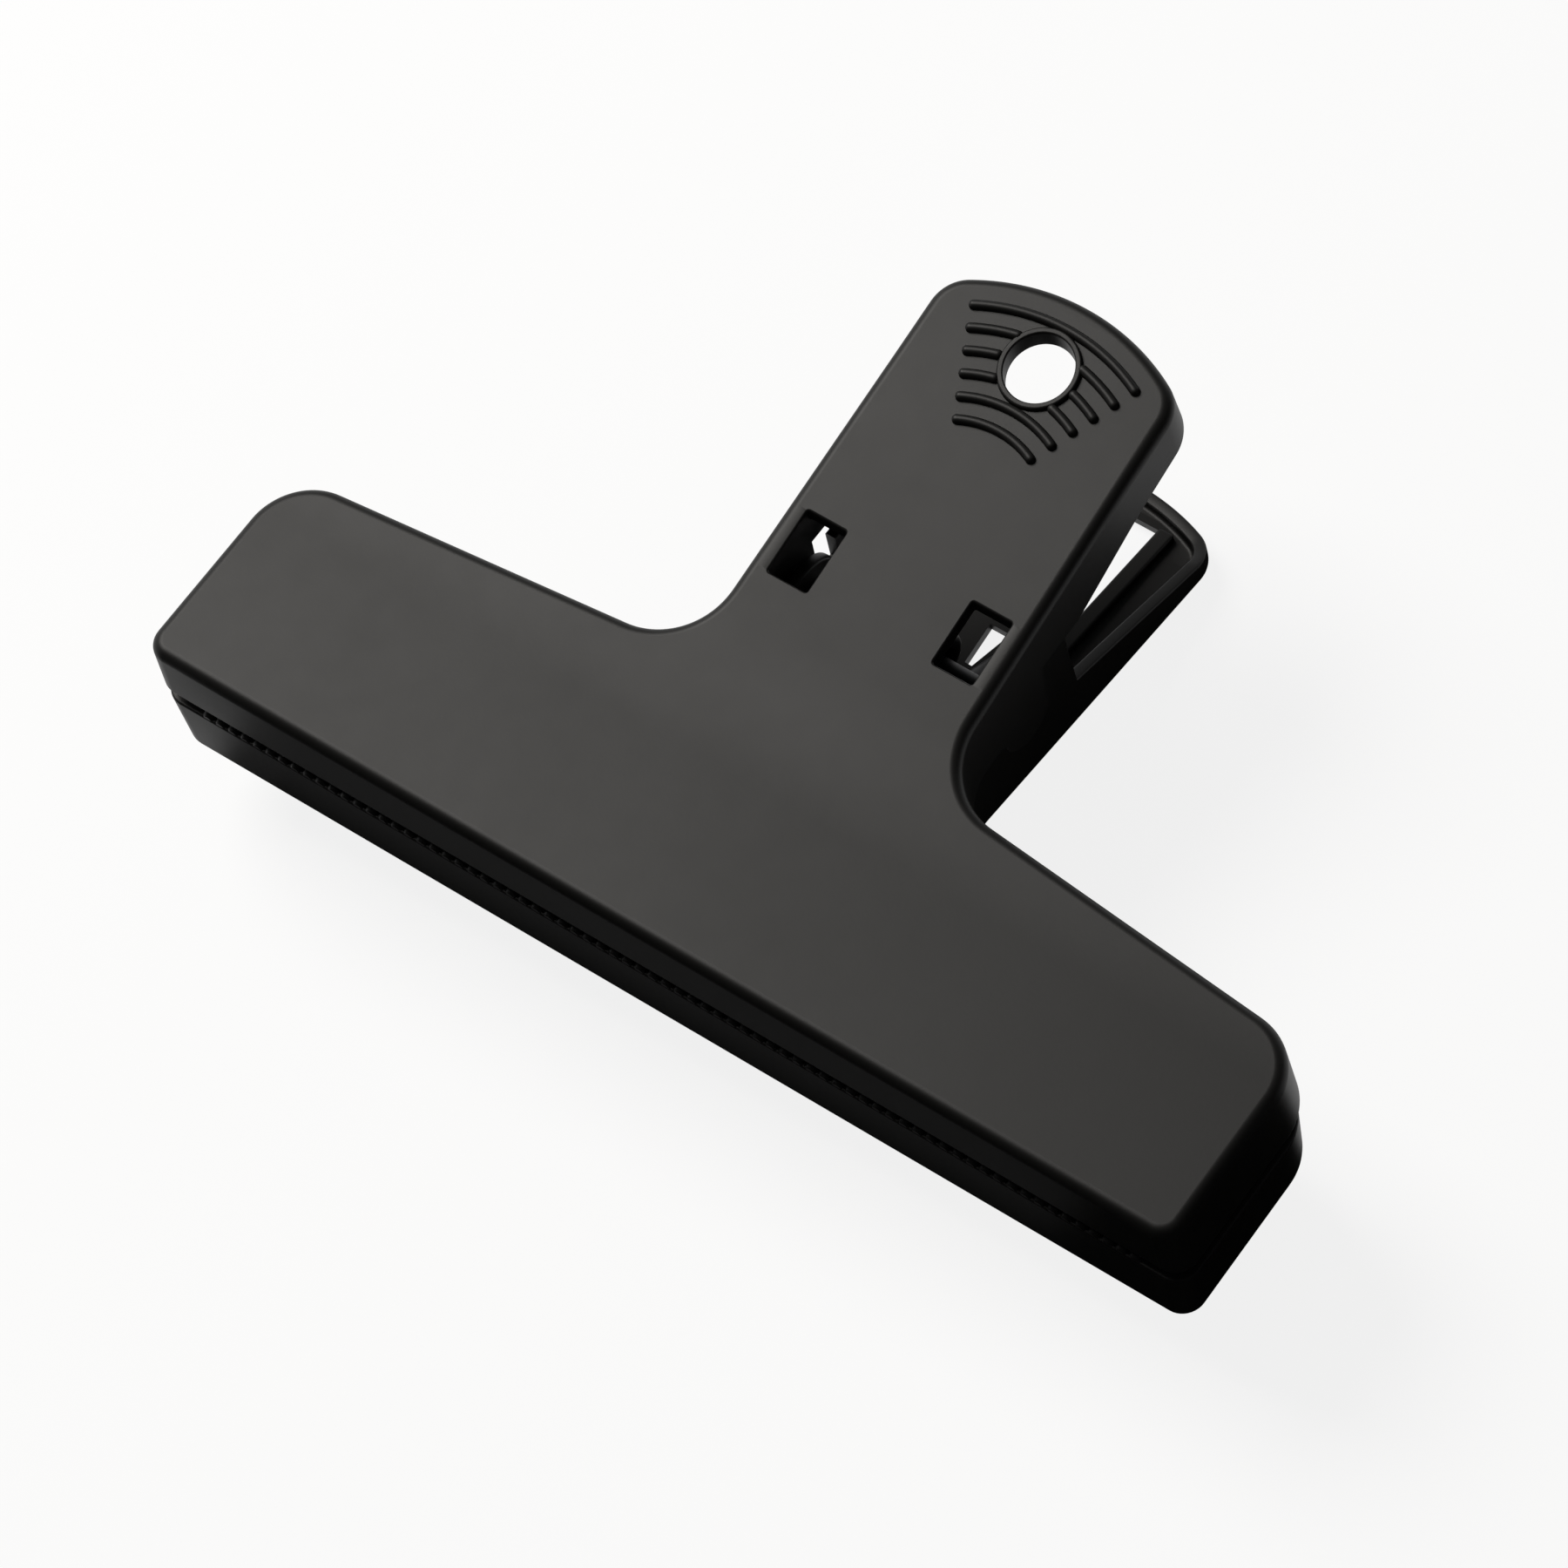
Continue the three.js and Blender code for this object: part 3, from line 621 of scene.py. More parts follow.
def skin(rings: Sequence[Points], caps: Caps, name: str) -> Piece:
    """Joins closed rings of equal count, in design millimetres, into one closed skin.

    Args:
        rings: the rings, from the first end to the last.
        caps: how the two ends are closed.
        name: the object's name.

    Returns:
        The closed object, in row metres.
    """
    count = len(rings[0])
    places = FRAME.row(np.vstack(rings))
    faces: list[tuple[int, ...]] = []
    for level in range(len(rings) - 1):
        base = level * count
        for i in range(count):
            j = (i + 1) % count
            faces.append((base + i, base + j, base + j + count, base + i + count))
    last = (len(rings) - 1) * count
    if caps is Caps.FLAT:
        faces += [tuple(range(count))[::-1], tuple(range(last, last + count))]
    else:
        for i in range((count + 1) // 2 - 1):
            corners = (i, i + 1, count - 2 - i, count - 1 - i)
            strip = corners if corners[1] != corners[2] else (i, i + 1, count - 1 - i)
            faces += [strip[::-1], tuple(last + corner for corner in strip)]
    mesh = bpy.data.meshes.new(name)
    mesh.from_pydata(places.tolist(), [], faces)
    built = bmesh.new()
    built.from_mesh(mesh)
    bmesh.ops.recalc_face_normals(built, faces=built.faces)
    built.to_mesh(mesh)
    built.free()
    made = bpy.data.objects.new(name, mesh)
    bpy.context.scene.collection.objects.link(made)
    return made


def combine(body: Piece, tools: Sequence[Piece], how: Join) -> Piece:
    """Adds solids to a body or cuts them out of it.

    Args:
        body: the solid that is changed.
        tools: the solids that are used up.
        how: whether they are added or cut out.

    Returns:
        The changed body.
    """
    name = body.name
    body.name = name + "_before"
    for tool in tools:
        modifier = body.modifiers.new(tool.name, "BOOLEAN")
        modifier.operation, modifier.object, modifier.solver = how.value, tool, "MANIFOLD"
    changed = settle(body, name)
    for tool in tools:
        bpy.data.objects.remove(tool)
    return changed


def dress(piece: Piece, material: Material, crease: float = 32.0) -> Piece:
    """Gives a piece its material and shades it smoothly between creases, with flat faces kept flat.

    Args:
        piece: the piece.
        material: its one material.
        crease: the angle in degrees past which an edge is sharp.

    Returns:
        The dressed piece, with the same name.
    """
    mesh = piece.data
    mesh.materials.clear()
    mesh.materials.append(material)
    mesh.polygons.foreach_set("material_index", [0] * len(mesh.polygons))
    mesh.polygons.foreach_set("use_smooth", [True] * len(mesh.polygons))
    mesh.set_sharp_from_angle(angle=math.radians(crease))
    name = piece.name
    piece.name = name + "_before"
    modifier = piece.modifiers.new("weights", "WEIGHTED_NORMAL")
    modifier.keep_sharp, modifier.weight = True, 50
    return settle(piece, name)


def quarter_round(steps: int) -> list[Pair]:
    """Places on a quarter of a circle of radius one that rounds the edge between two faces.

    Args:
        steps: its faces.

    Returns:
        For each place its distances from the two faces, the first falling and the second rising.
    """
    turns = [math.pi / 2 * step / steps for step in range(steps + 1)]
    return [(1 - math.sin(turn), 1 - math.cos(turn)) for turn in turns]


def rounded_rectangle(x: Sequence[float], y: Sequence[float], radius: float, grow: float,
                      steps: int = 4) -> Points:
    """A rectangle with round corners, seen from above.

    Args:
        x: its least and greatest x.
        y: its least and greatest y.
        radius: its corner radius.
        grow: how far it is moved outwards.
        steps: faces in each corner.

    Returns:
        Its points, in order.
    """
    reach = max(radius + grow, LEAST_RADIUS)
    points = []
    for quarter, (side, end) in enumerate(((1, 1), (0, 1), (0, 0), (1, 0))):
        centre = (x[side] + (radius if side == 0 else -radius), y[end] + (radius if end == 0 else -radius))
        for step in range(steps + 1):
            angle = math.pi / 2 * (quarter + step / steps)
            points.append((centre[0] + reach * math.cos(angle), centre[1] + reach * math.sin(angle)))
    return np.array(points)


def circle(centre: Sequence[float], radius: float, sides: int = 64) -> Points:
    """A circle seen from above.

    Args:
        centre: its x and y.
        radius: its radius.
        sides: its faces.

    Returns:
        Its points, in order.
    """
    turn = np.arange(sides) * 2 * math.pi / sides
    return np.stack([centre[0] + radius * np.cos(turn), centre[1] + radius * np.sin(turn)], axis=1)


def at_height(outline: Points, height: HeightAt) -> Points:
    """Lifts an outline to a height that depends on y.

    Args:
        outline: points seen from above.
        height: the height at each y.

    Returns:
        The points with their heights.
    """
    return np.column_stack([outline, [height(y) for y in outline[:, 1]]])


def bar_along_x(x: Sequence[float], radius: float, name: str, edge: float = 0.0, sides: int = 48) -> Piece:
    """A round bar on the hinge's axis.

    Args:
        x: where it starts and ends.
        radius: its radius.
        name: the object's name.
        edge: how far its ends are rounded.
        sides: its faces.

    Returns:
        The bar.
    """
    sections = [(x[0], radius - edge), (x[1], radius - edge)]
    if edge > 0:
        corner = quarter_round(5)
        sections = [(x[0] + edge * along, radius - edge * drop) for along, drop in reversed(corner)]
        sections += [(x[1] - edge * along, radius - edge * drop) for along, drop in corner]
    turn = np.arange(sides) * 2 * math.pi / sides
    rings = [np.stack([np.full(sides, place), FRAME.pivot_y + reach * np.cos(turn),
                       FRAME.pivot_z + reach * np.sin(turn)], axis=1) for place, reach in sections]
    return skin(rings, Caps.FLAT, name)


def block(low: Sequence[float], high: Sequence[float], edge: float, name: str) -> Piece:
    """A block with round vertical corners and rounded top and bottom edges.

    Args:
        low: its lowest corner.
        high: its highest corner.
        edge: the rounding radius.
        name: the object's name.

    Returns:
        The block.
    """
    corner = quarter_round(4)
    levels = [(-edge * inset, low[2] + edge * rise) for inset, rise in corner]
    levels += [(-edge * inset, high[2] - edge * drop) for inset, drop in reversed(corner)]
    rings = [at_height(rounded_rectangle((low[0], high[0]), (low[1], high[1]), edge * BLOCK_CORNER, grow),
                       lambda y, z=z: z) for grow, z in levels]
    return skin(rings, Caps.FLAT, name)


@dataclass
class LeverPlan:
    """Outline of a lever seen from above, as edge points with outward directions."""

    half_length: float
    end_depth: float
    middle_depth: float
    base_half_width: float
    tip_half_width: float
    tip: float
    end_taper: float = 0.25
    front_radius: float = 2.0
    rear_radius: float = 5.6
    root_radius: float = 6.6
    tip_corner_radius: float = 3.5
    tip_arc_radius: float = 21.3
    front_steps: int = 10
    rear_steps: int = 22
    root_steps: int = 30
    tip_corner_steps: int = 16
    tip_steps: int = 26
    side_step: float = 0.45
    least_step: float = 0.12
    least_share: float = 0.001
    edge: Points = field(init=False)
    outward: Points = field(init=False)

    @staticmethod
    def _line(start: Sequence[float], end: Sequence[float]) -> tuple[Points, float, float]:
        """A straight side.

        Args:
            start: where it begins.
            end: where it ends.

        Returns:
            Its outward direction, that direction's angle and its distance from the origin.
        """
        along = np.subtract(end, start) / np.hypot(*np.subtract(end, start))
        normal = np.array([along[1], -along[0]])
        return normal, math.atan2(normal[1], normal[0]), float(normal @ np.asarray(start))

    @staticmethod
    def _corner(first: tuple, second: tuple, radius: float, steps: int) -> tuple:
        """A round corner between two sides; a concave one has a negative radius.

        Args:
            first: the side before it.
            second: the side after it.
            radius: its signed radius.
            steps: its faces.

        Returns:
            Centre, radius, first angle, last angle and steps.
        """
        normals = np.array([first[0], second[0]])
        centre = np.linalg.solve(normals, [first[2] - radius, second[2] - radius])
        return centre, radius, first[1], second[1], steps

    def trace(self, levels: Sequence[float]) -> None:
        """Walks round the outline and keeps its points and outward directions.

        Args:
            levels: values of y at which the handle's side needs a point.
        """
        front_corner = (self.half_length, 0.0)
        rear_corner = (self.half_length - self.end_taper, self.end_depth)
        root, end = (self.base_half_width, self.middle_depth), (self.tip_half_width, self.tip)
        front, jaw_end = self._line((0, 0), front_corner), self._line(front_corner, rear_corner)
        rear, side = self._line(rear_corner, root), self._line(root, end)
        tip_centre = np.array([0.0, self.tip - self.tip_arc_radius])
        reach = self.tip_arc_radius - self.tip_corner_radius
        foot = side[0] * (side[2] - self.tip_corner_radius - side[0] @ tip_centre)
        along = np.array([-side[0][1], side[0][0]])
        tip_corner = tip_centre + foot + along * math.sqrt(reach**2 - foot @ foot)
        tip_angle = math.atan2(*(tip_corner - tip_centre)[::-1])
        arcs = [
            self._corner(front, jaw_end, self.front_radius, self.front_steps),
            self._corner(jaw_end, rear, self.rear_radius, self.rear_steps),
            self._corner(rear, side, -self.root_radius, self.root_steps),
            (tip_corner, self.tip_corner_radius, side[1], tip_angle, self.tip_corner_steps),
            (tip_centre, self.tip_arc_radius, tip_angle, math.pi / 2, self.tip_steps),
        ]
        points: list[Points] = []
        normals: list[Points] = []
        for centre, radius, start, stop, steps in arcs:
            turns = np.linspace(start, stop, steps + 1)
            if centre is tip_centre:
                turns = turns[1:]
            for turn in turns:
                normal = np.array([math.cos(turn), math.sin(turn)])
                place = centre + radius * normal
                if points and turn == turns[0] and centre is not tip_centre:
                    self._fill(points, normals, place, normal, levels)
                points.append(place)
                normals.append(normal)
        points[-1][0] = 0.0
        right, outward = np.array(points), np.array(normals)
        mirror = np.array([-1.0, 1.0])
        self.edge = np.vstack([right, right[-2::-1] * mirror])
        self.outward = np.vstack([outward, outward[-2::-1] * mirror])

    def _fill(self, points: list, normals: list, place: Points, normal: Points,
              levels: Sequence[float]) -> None:
        """Adds points along a straight side, up to the next corner.

        Args:
            points: the points so far.
            normals: their outward directions so far.
            place: where the next corner starts.
            normal: the side's outward direction.
            levels: values of y that need a point.
        """
        start = points[-1]
        span = place - start
        rise = abs(span[1])
        shares = set(np.linspace(0, 1, max(2, int(rise / self.side_step)) + 1)[1:-1])
        if rise > self.least_step:
            for level in levels:
                share = (level - start[1]) / span[1]
                if self.least_share < share < 1 - self.least_share:
                    apart = {other for other in shares if abs(other - share) * rise > self.least_step}
                    shares = apart | {share}
        for share in sorted(shares):
            points.append(start + span * share)
            normals.append(normal)

    def ring(self, inset: float, heights: Any) -> Points:
        """The outline moved inwards, at a height.

        Args:
            inset: how far it is moved inwards.
            heights: a height for each point, or the height as a function of y.

        Returns:
            The ring's points.
        """
        flat = self.edge - inset * self.outward
        if callable(heights):
            return at_height(flat, heights)
        return np.column_stack([flat, heights])

    def half_width(self, y: float) -> float:
        """Half width of the handle at a distance y from the front edge."""
        share = (y - self.middle_depth) / (self.tip - self.middle_depth)
        return self.base_half_width + (self.tip_half_width - self.base_half_width) * share

    def depth(self, x: float) -> float:
        """Depth of the jaw at a distance x to either side of the middle."""
        share = (abs(x) - self.base_half_width) / (self.half_length - self.end_taper - self.base_half_width)
        return self.middle_depth + (self.end_depth - self.middle_depth) * share


@dataclass
class Shell:
    """Wall sizes that the two moulded levers share."""

    wall: float = 1.1
    fillet: float = 1.0
    inner_fillet: float = 0.45
    lip_round: float = 0.22
    rib_thickness: float = 0.9
    rib_height: float = 2.4
    rib_spacing: float = 17.0
    rib_edge: float = 0.15
    ribs_per_side: int = 2
    end_draft: float = 0.055
    tip_draft: float = 0.055
    end_fade: Pair = (25.0, 45.0)
    tip_fade: Pair = (50.0, 60.0)

    def _drafted(self, ring: Points, face: HeightAt) -> Points:
        """Leans a ring outwards by the draft of a moulded wall at its depth below the outer face.

        Args:
            ring: the ring's points.
            face: height of the outer face at y.

        Returns:
            The moved points.
        """
        depth = np.abs(ring[:, 2] - [face(y) for y in ring[:, 1]])
        at_end = self._fade(np.abs(ring[:, 0]), self.end_fade)
        at_tip = self._fade(ring[:, 1], self.tip_fade)
        moved = ring.copy()
        moved[:, 0] += np.sign(ring[:, 0]) * depth * (self.end_draft * at_end + self.tip_draft * at_tip)
        moved[:, 1] += depth * self.tip_draft * at_tip
        return moved

    @staticmethod
    def _fade(value: Points, span: Pair) -> Points:
        """A smooth rise from 0 to 1 over a span."""
        share = np.clip((value - span[0]) / (span[1] - span[0]), 0, 1)
        return share * share * (3 - 2 * share)

    def rings(self, plan: LeverPlan, face: HeightAt, inner: HeightAt, edge: Points, way: int) -> list[Points]:
        """The rings of an open shell, from the inside of its plate round the lip to its outer face.

        Args:
            plan: the lever's outline.
            face: height of the outer face at y.
            inner: height of the plate's inside at y.
            edge: height of the lip at each outline point.
            way: 1 if the plate is above the lip, -1 if it is below.

        Returns:
            The rings, in order.
        """
        corner = quarter_round(4)
        made = [plan.ring(self.wall + self.inner_fillet * side,
                          lambda y, d=self.inner_fillet * drop: inner(y) - way * d) for side, drop in corner]
        made += [plan.ring(self.wall - self.lip_round * side, edge + way * self.lip_round * rise)
                 for rise, side in corner]
        made += [plan.ring(self.lip_round * side, edge + way * self.lip_round * rise)
                 for rise, side in reversed(corner)]
        made += [plan.ring(self.fillet * side, lambda y, d=self.fillet * drop: face(y) - way * d)
                 for drop, side in quarter_round(9)]
        return [self._drafted(ring, face) for ring in made]

    def ribs(self, plan: LeverPlan, z: Sequence[float]) -> list[Piece]:
        """Thin ribs from the jaw's front wall to its rear wall.

        Args:
            plan: the lever's outline.
            z: lowest and highest height of the ribs.

        Returns:
            The ribs.
        """
        made = []
        for n in range(1, self.ribs_per_side + 1):
            for x in (-n * self.rib_spacing, n * self.rib_spacing):
                half = self.rib_thickness / 2
                rear = plan.depth(x) - self.wall / 2
                low, high = (x - half, self.wall / 2, z[0]), (x + half, rear, z[1])
                made.append(block(low, high, self.rib_edge, f"rib_{x:.0f}"))
        return made


def flared_cut(outline: Callable[[float], Points], face: HeightAt, depth: float, flare: float, way: int,
               name: str) -> Piece:
    """A cutter for an opening whose outer edge is rounded.

    Args:
        outline: the opening's outline, grown by a given amount.
        face: height of the plate's outer face at y.
        depth: how deep it cuts below that face.
        flare: radius of the rounded edge.
        way: 1 if the outer face looks up, -1 if it looks down.
        name: the object's name.

    Returns:
        The cutter.
    """
    levels = [(0.0, -depth)]
    for step in range(FLARE_STEPS + 1):
        turn = FLARE_TURN * step / FLARE_STEPS
        levels.append((flare * (1 - math.cos(turn)), flare * math.sin(turn) - flare))
    grow, height = levels[-1]
    rise = max(0.0, -height) + LEAST_RADIUS
    mouth = grow + rise / FLARE_SLOPE
    levels += [(mouth, height + rise), (mouth, height + rise + CUT_PAST_FACE)]
    rings = [at_height(outline(grown), lambda y, o=offset: face(y) + way * o) for grown, offset in levels]
    return skin(rings, Caps.FLAT, name)


# The clip's pieces


@dataclass
class UpperLever:
    """The upper moulding: jaw, handle with thumb grip, hanging hole, two windows and hinge ears."""

    plan: LeverPlan = field(default_factory=lambda: LeverPlan(
        half_length=50.8, end_depth=19.3, middle_depth=22.8,
        base_half_width=12.15, tip_half_width=11.55, tip=61.9))
    shell: Shell = field(default_factory=Shell)
    plate: float = 1.3
    lip_below_top: float = 6.3
    ear_radius: float = 2.9
    ear_points: int = 25
    ear_skin: float = 0.45
    bore_radius: float = 1.5
    bore_past: float = 0.4
    skirt_below_top: float = 3.0
    skirt_step: float = 0.02
    rise_start: float = 42.1
    rise_angle: float = math.radians(17.2)
    window_size: Pair = (3.9, 5.8)
    window_offset: float = 8.15
    window_edge: float = 0.2
    window_corner: float = 0.2
    window_past: float = 0.6
    hole_radius: float = 2.95
    hole_edge: float = 0.16
    hole_past: float = 1.0
    hole_from_tip: float = 6.4
    ring_width: float = 0.55
    bead_height: float = 0.5
    rim_height: float = 0.4
    rim_corner: float = 0.2
    rim_foot: float = 0.05
    arc_count: int = 6
    first_arc: float = 9.05
    arc_pitch: float = 1.94
    arc_half_angle: float = math.radians(26.3)
    arc_faces: int = 96
    bead_width: float = 0.84
    bead_sides: int = 18
    bead_step: float = 0.12
    bead_tip: float = 0.03

    @property
    def hole_y(self) -> float:
        """Where the hanging hole is along the handle."""
        return self.plan.tip - self.hole_from_tip

    def ceiling(self, y: float) -> float:
        """Height of the plate's inside at y."""
        return FRAME.upper_face(y) - self.plate

    def edge_height(self, y: float) -> float:
        """Height of the lever's side edge: lip, ear round the pin, then the rising skirt.

        Args:
            y: distance from the front edge.

        Returns:
            The height.
        """
        lip, skirt = FRAME.top - self.lip_below_top, FRAME.top - self.skirt_below_top
        away = abs(y - FRAME.pivot_y)
        if away <= self.ear_radius:
            return min(lip, FRAME.pivot_z - math.sqrt(max(0.0, self.ear_radius**2 - away**2)))
        if y < FRAME.pivot_y:
            return lip
        return skirt + max(0.0, y - self.rise_start) * math.tan(self.rise_angle)

    def build(self, plastic: Material) -> list[Piece]:
        """Makes the lever and its thumb grip.

        Args:
            plastic: the material of both.

        Returns:
            The two pieces.
        """
        ear = FRAME.pivot_y + self.ear_radius * np.cos(np.linspace(0, math.pi, self.ear_points))
        self.plan.trace([*ear, FRAME.pivot_y + self.ear_radius + self.skirt_step, self.rise_start])
        edge = np.array([self.edge_height(y) for y in self.plan.edge[:, 1]])
        rings = self.shell.rings(self.plan, FRAME.upper_face, self.ceiling, edge, 1)
        body = skin(rings, Caps.STRIPS, "upper_shell")
        under = FRAME.top - self.plate
        rim = [at_height(circle((0, self.hole_y), radius), lambda y, o=offset: FRAME.upper_face(y) + o)
               for radius, offset in self._rim_profile()]
        additions = self.shell.ribs(self.plan, (under - self.shell.rib_height, under + self.plate / 2))
        body = combine(body, [*additions, skin(rim, Caps.FLAT, "hole_rim")], Join.ADD)
        body = combine(body, self._openings(), Join.CUT)
        return [dress(body, plastic), self._thumb_grip(plastic)]

    def _rim_profile(self) -> list[Pair]:
        """Profile of the raised ring round the hole, from its foot to its top.

        Returns:
            The radius and height of each place.
        """
        outer = self.hole_radius + self.ring_width
        return [(outer + self.rim_foot, -self.plate / 2)] + [
            (outer - self.rim_corner * side, self.rim_height - self.rim_corner * drop)
            for drop, side in quarter_round(5)]

    def _openings(self) -> list[Piece]:
        """Cutters for the hanging hole, the windows and the blind pin sockets.

        Returns:
            The cutters.
        """
        cuts = [flared_cut(lambda grow: circle((0, self.hole_y), self.hole_radius + grow),
                           lambda y: FRAME.upper_face(y) + self.rim_height,
                           self.plate + self.hole_past, self.hole_edge, 1, "hole_cut")]
        half_x, half_y = self.window_size[0] / 2, self.window_size[1] / 2
        inner = self.plan.half_width(FRAME.pivot_y) - self.shell.wall
        for side in (-1, 1):
            x = (side * self.window_offset - half_x, side * self.window_offset + half_x)
            y = (FRAME.pivot_y - half_y, FRAME.pivot_y + half_y)
            cuts.append(flared_cut(lambda grow, x=x, y=y: rounded_rectangle(x, y, self.window_corner, grow),
                                   FRAME.upper_face, self.plate + self.window_past, self.window_edge, 1,
                                   f"window_cut_{side}"))
            reach = (side * (inner - self.bore_past), side * (inner + self.shell.wall - self.ear_skin))
            cuts.append(bar_along_x(sorted(reach), self.bore_radius, f"socket_cut_{side}"))
        return cuts

    def _thumb_grip(self, plastic: Material) -> Piece:
        """Grows the concentric beads of the grip, which stop at the ring round the hole.

        Args:
            plastic: the material.

        Returns:
            The grip, as one piece.
        """
        grow = GrowTree("grip_beads")
        maker = grow.maker
        count = grow.number("Arc Count", whole=True)
        first, pitch, half_angle, bead, centre_y, hole_y, gap, height, slope, step = map(grow.number, (
            "First Radius", "Pitch", "Half Angle", "Bead Radius", "Centre Y", "Hole Y", "Gap Radius",
            "Height At Middle", "Slope", "Step"))
        starts = maker.make("GeometryNodeMeshLine", None, {"Count": count, "Offset": (0.0, 0.0, 0.0)})
        arc = maker.make("GeometryNodeCurveArc", None,
                         {"Resolution": self.arc_faces, "Radius": 1.0,
                          "Start Angle": math.pi / 2 - half_angle, "Sweep Angle": half_angle * 2})
        radius = first + maker.signal("GeometryNodeInputIndex") * pitch
        placed = maker.make("GeometryNodeInstanceOnPoints", None,
                            {"Points": starts.outputs[0], "Instance": arc.outputs[0],
                             "Scale": maker.vector(radius, radius, radius)})
        real = maker.make("GeometryNodeRealizeInstances", None, {0: placed.outputs[0]})
        even = maker.make("GeometryNodeResampleCurve", {"mode": "LENGTH"},
                          {"Curve": real.outputs[0], "Length": step})
        moved = maker.make("GeometryNodeSetPosition", None,
                           {"Geometry": even.outputs[0], "Offset": maker.vector(y=centre_y)})
        wires = maker.make("GeometryNodeCurveToMesh", None, {"Curve": moved.outputs[0]})
        x, y = maker.across()
        from_hole = (x * x + (y - hole_y) * (y - hole_y)).root()
        kept = maker.make("GeometryNodeDeleteGeometry", {"domain": "POINT"},
                          {"Geometry": wires.outputs[0], "Selection": from_hole.below(gap)})
        raised = maker.make("GeometryNodeSetPosition", None,
                            {"Geometry": kept.outputs[0], "Position": maker.vector(x, y, height + y * slope)})
        curves = maker.make("GeometryNodeMeshToCurve", None, {"Mesh": raised.outputs[0]})
        share = (maker.from_end() / bead).least(1.0)
        taper = (1.0 - (1.0 - share) * (1.0 - share)).root().most(self.bead_tip)
        grow.close(maker.sweep(curves.outputs[0], taper, bead, self.bead_sides), plastic)
        round_radius = (self.bead_width**2 / 4 + self.bead_height**2) / (2 * self.bead_height)
        level = FRAME.upper_face(self.hole_y) - FRAME.slope * (self.hole_y - FRAME.middle_y)
        middle = FRAME.row([[0, FRAME.middle_y, level + self.bead_height - round_radius]])[0]
        centre = FRAME.row([[0, self.plan.tip - self.plan.tip_arc_radius, 0]])[0]
        hole = FRAME.row([[0, self.hole_y, 0]])[0]
        return grow.grow("thumb_grip", {
            "Arc Count": self.arc_count, "First Radius": self.first_arc * MILLIMETRE,
            "Pitch": self.arc_pitch * MILLIMETRE, "Half Angle": self.arc_half_angle,
            "Bead Radius": round_radius * MILLIMETRE, "Centre Y": float(centre[1]), "Hole Y": float(hole[1]),
            "Gap Radius": (self.hole_radius + self.ring_width / 2) * MILLIMETRE,
            "Height At Middle": float(middle[2]), "Slope": FRAME.slope, "Step": self.bead_step * MILLIMETRE})


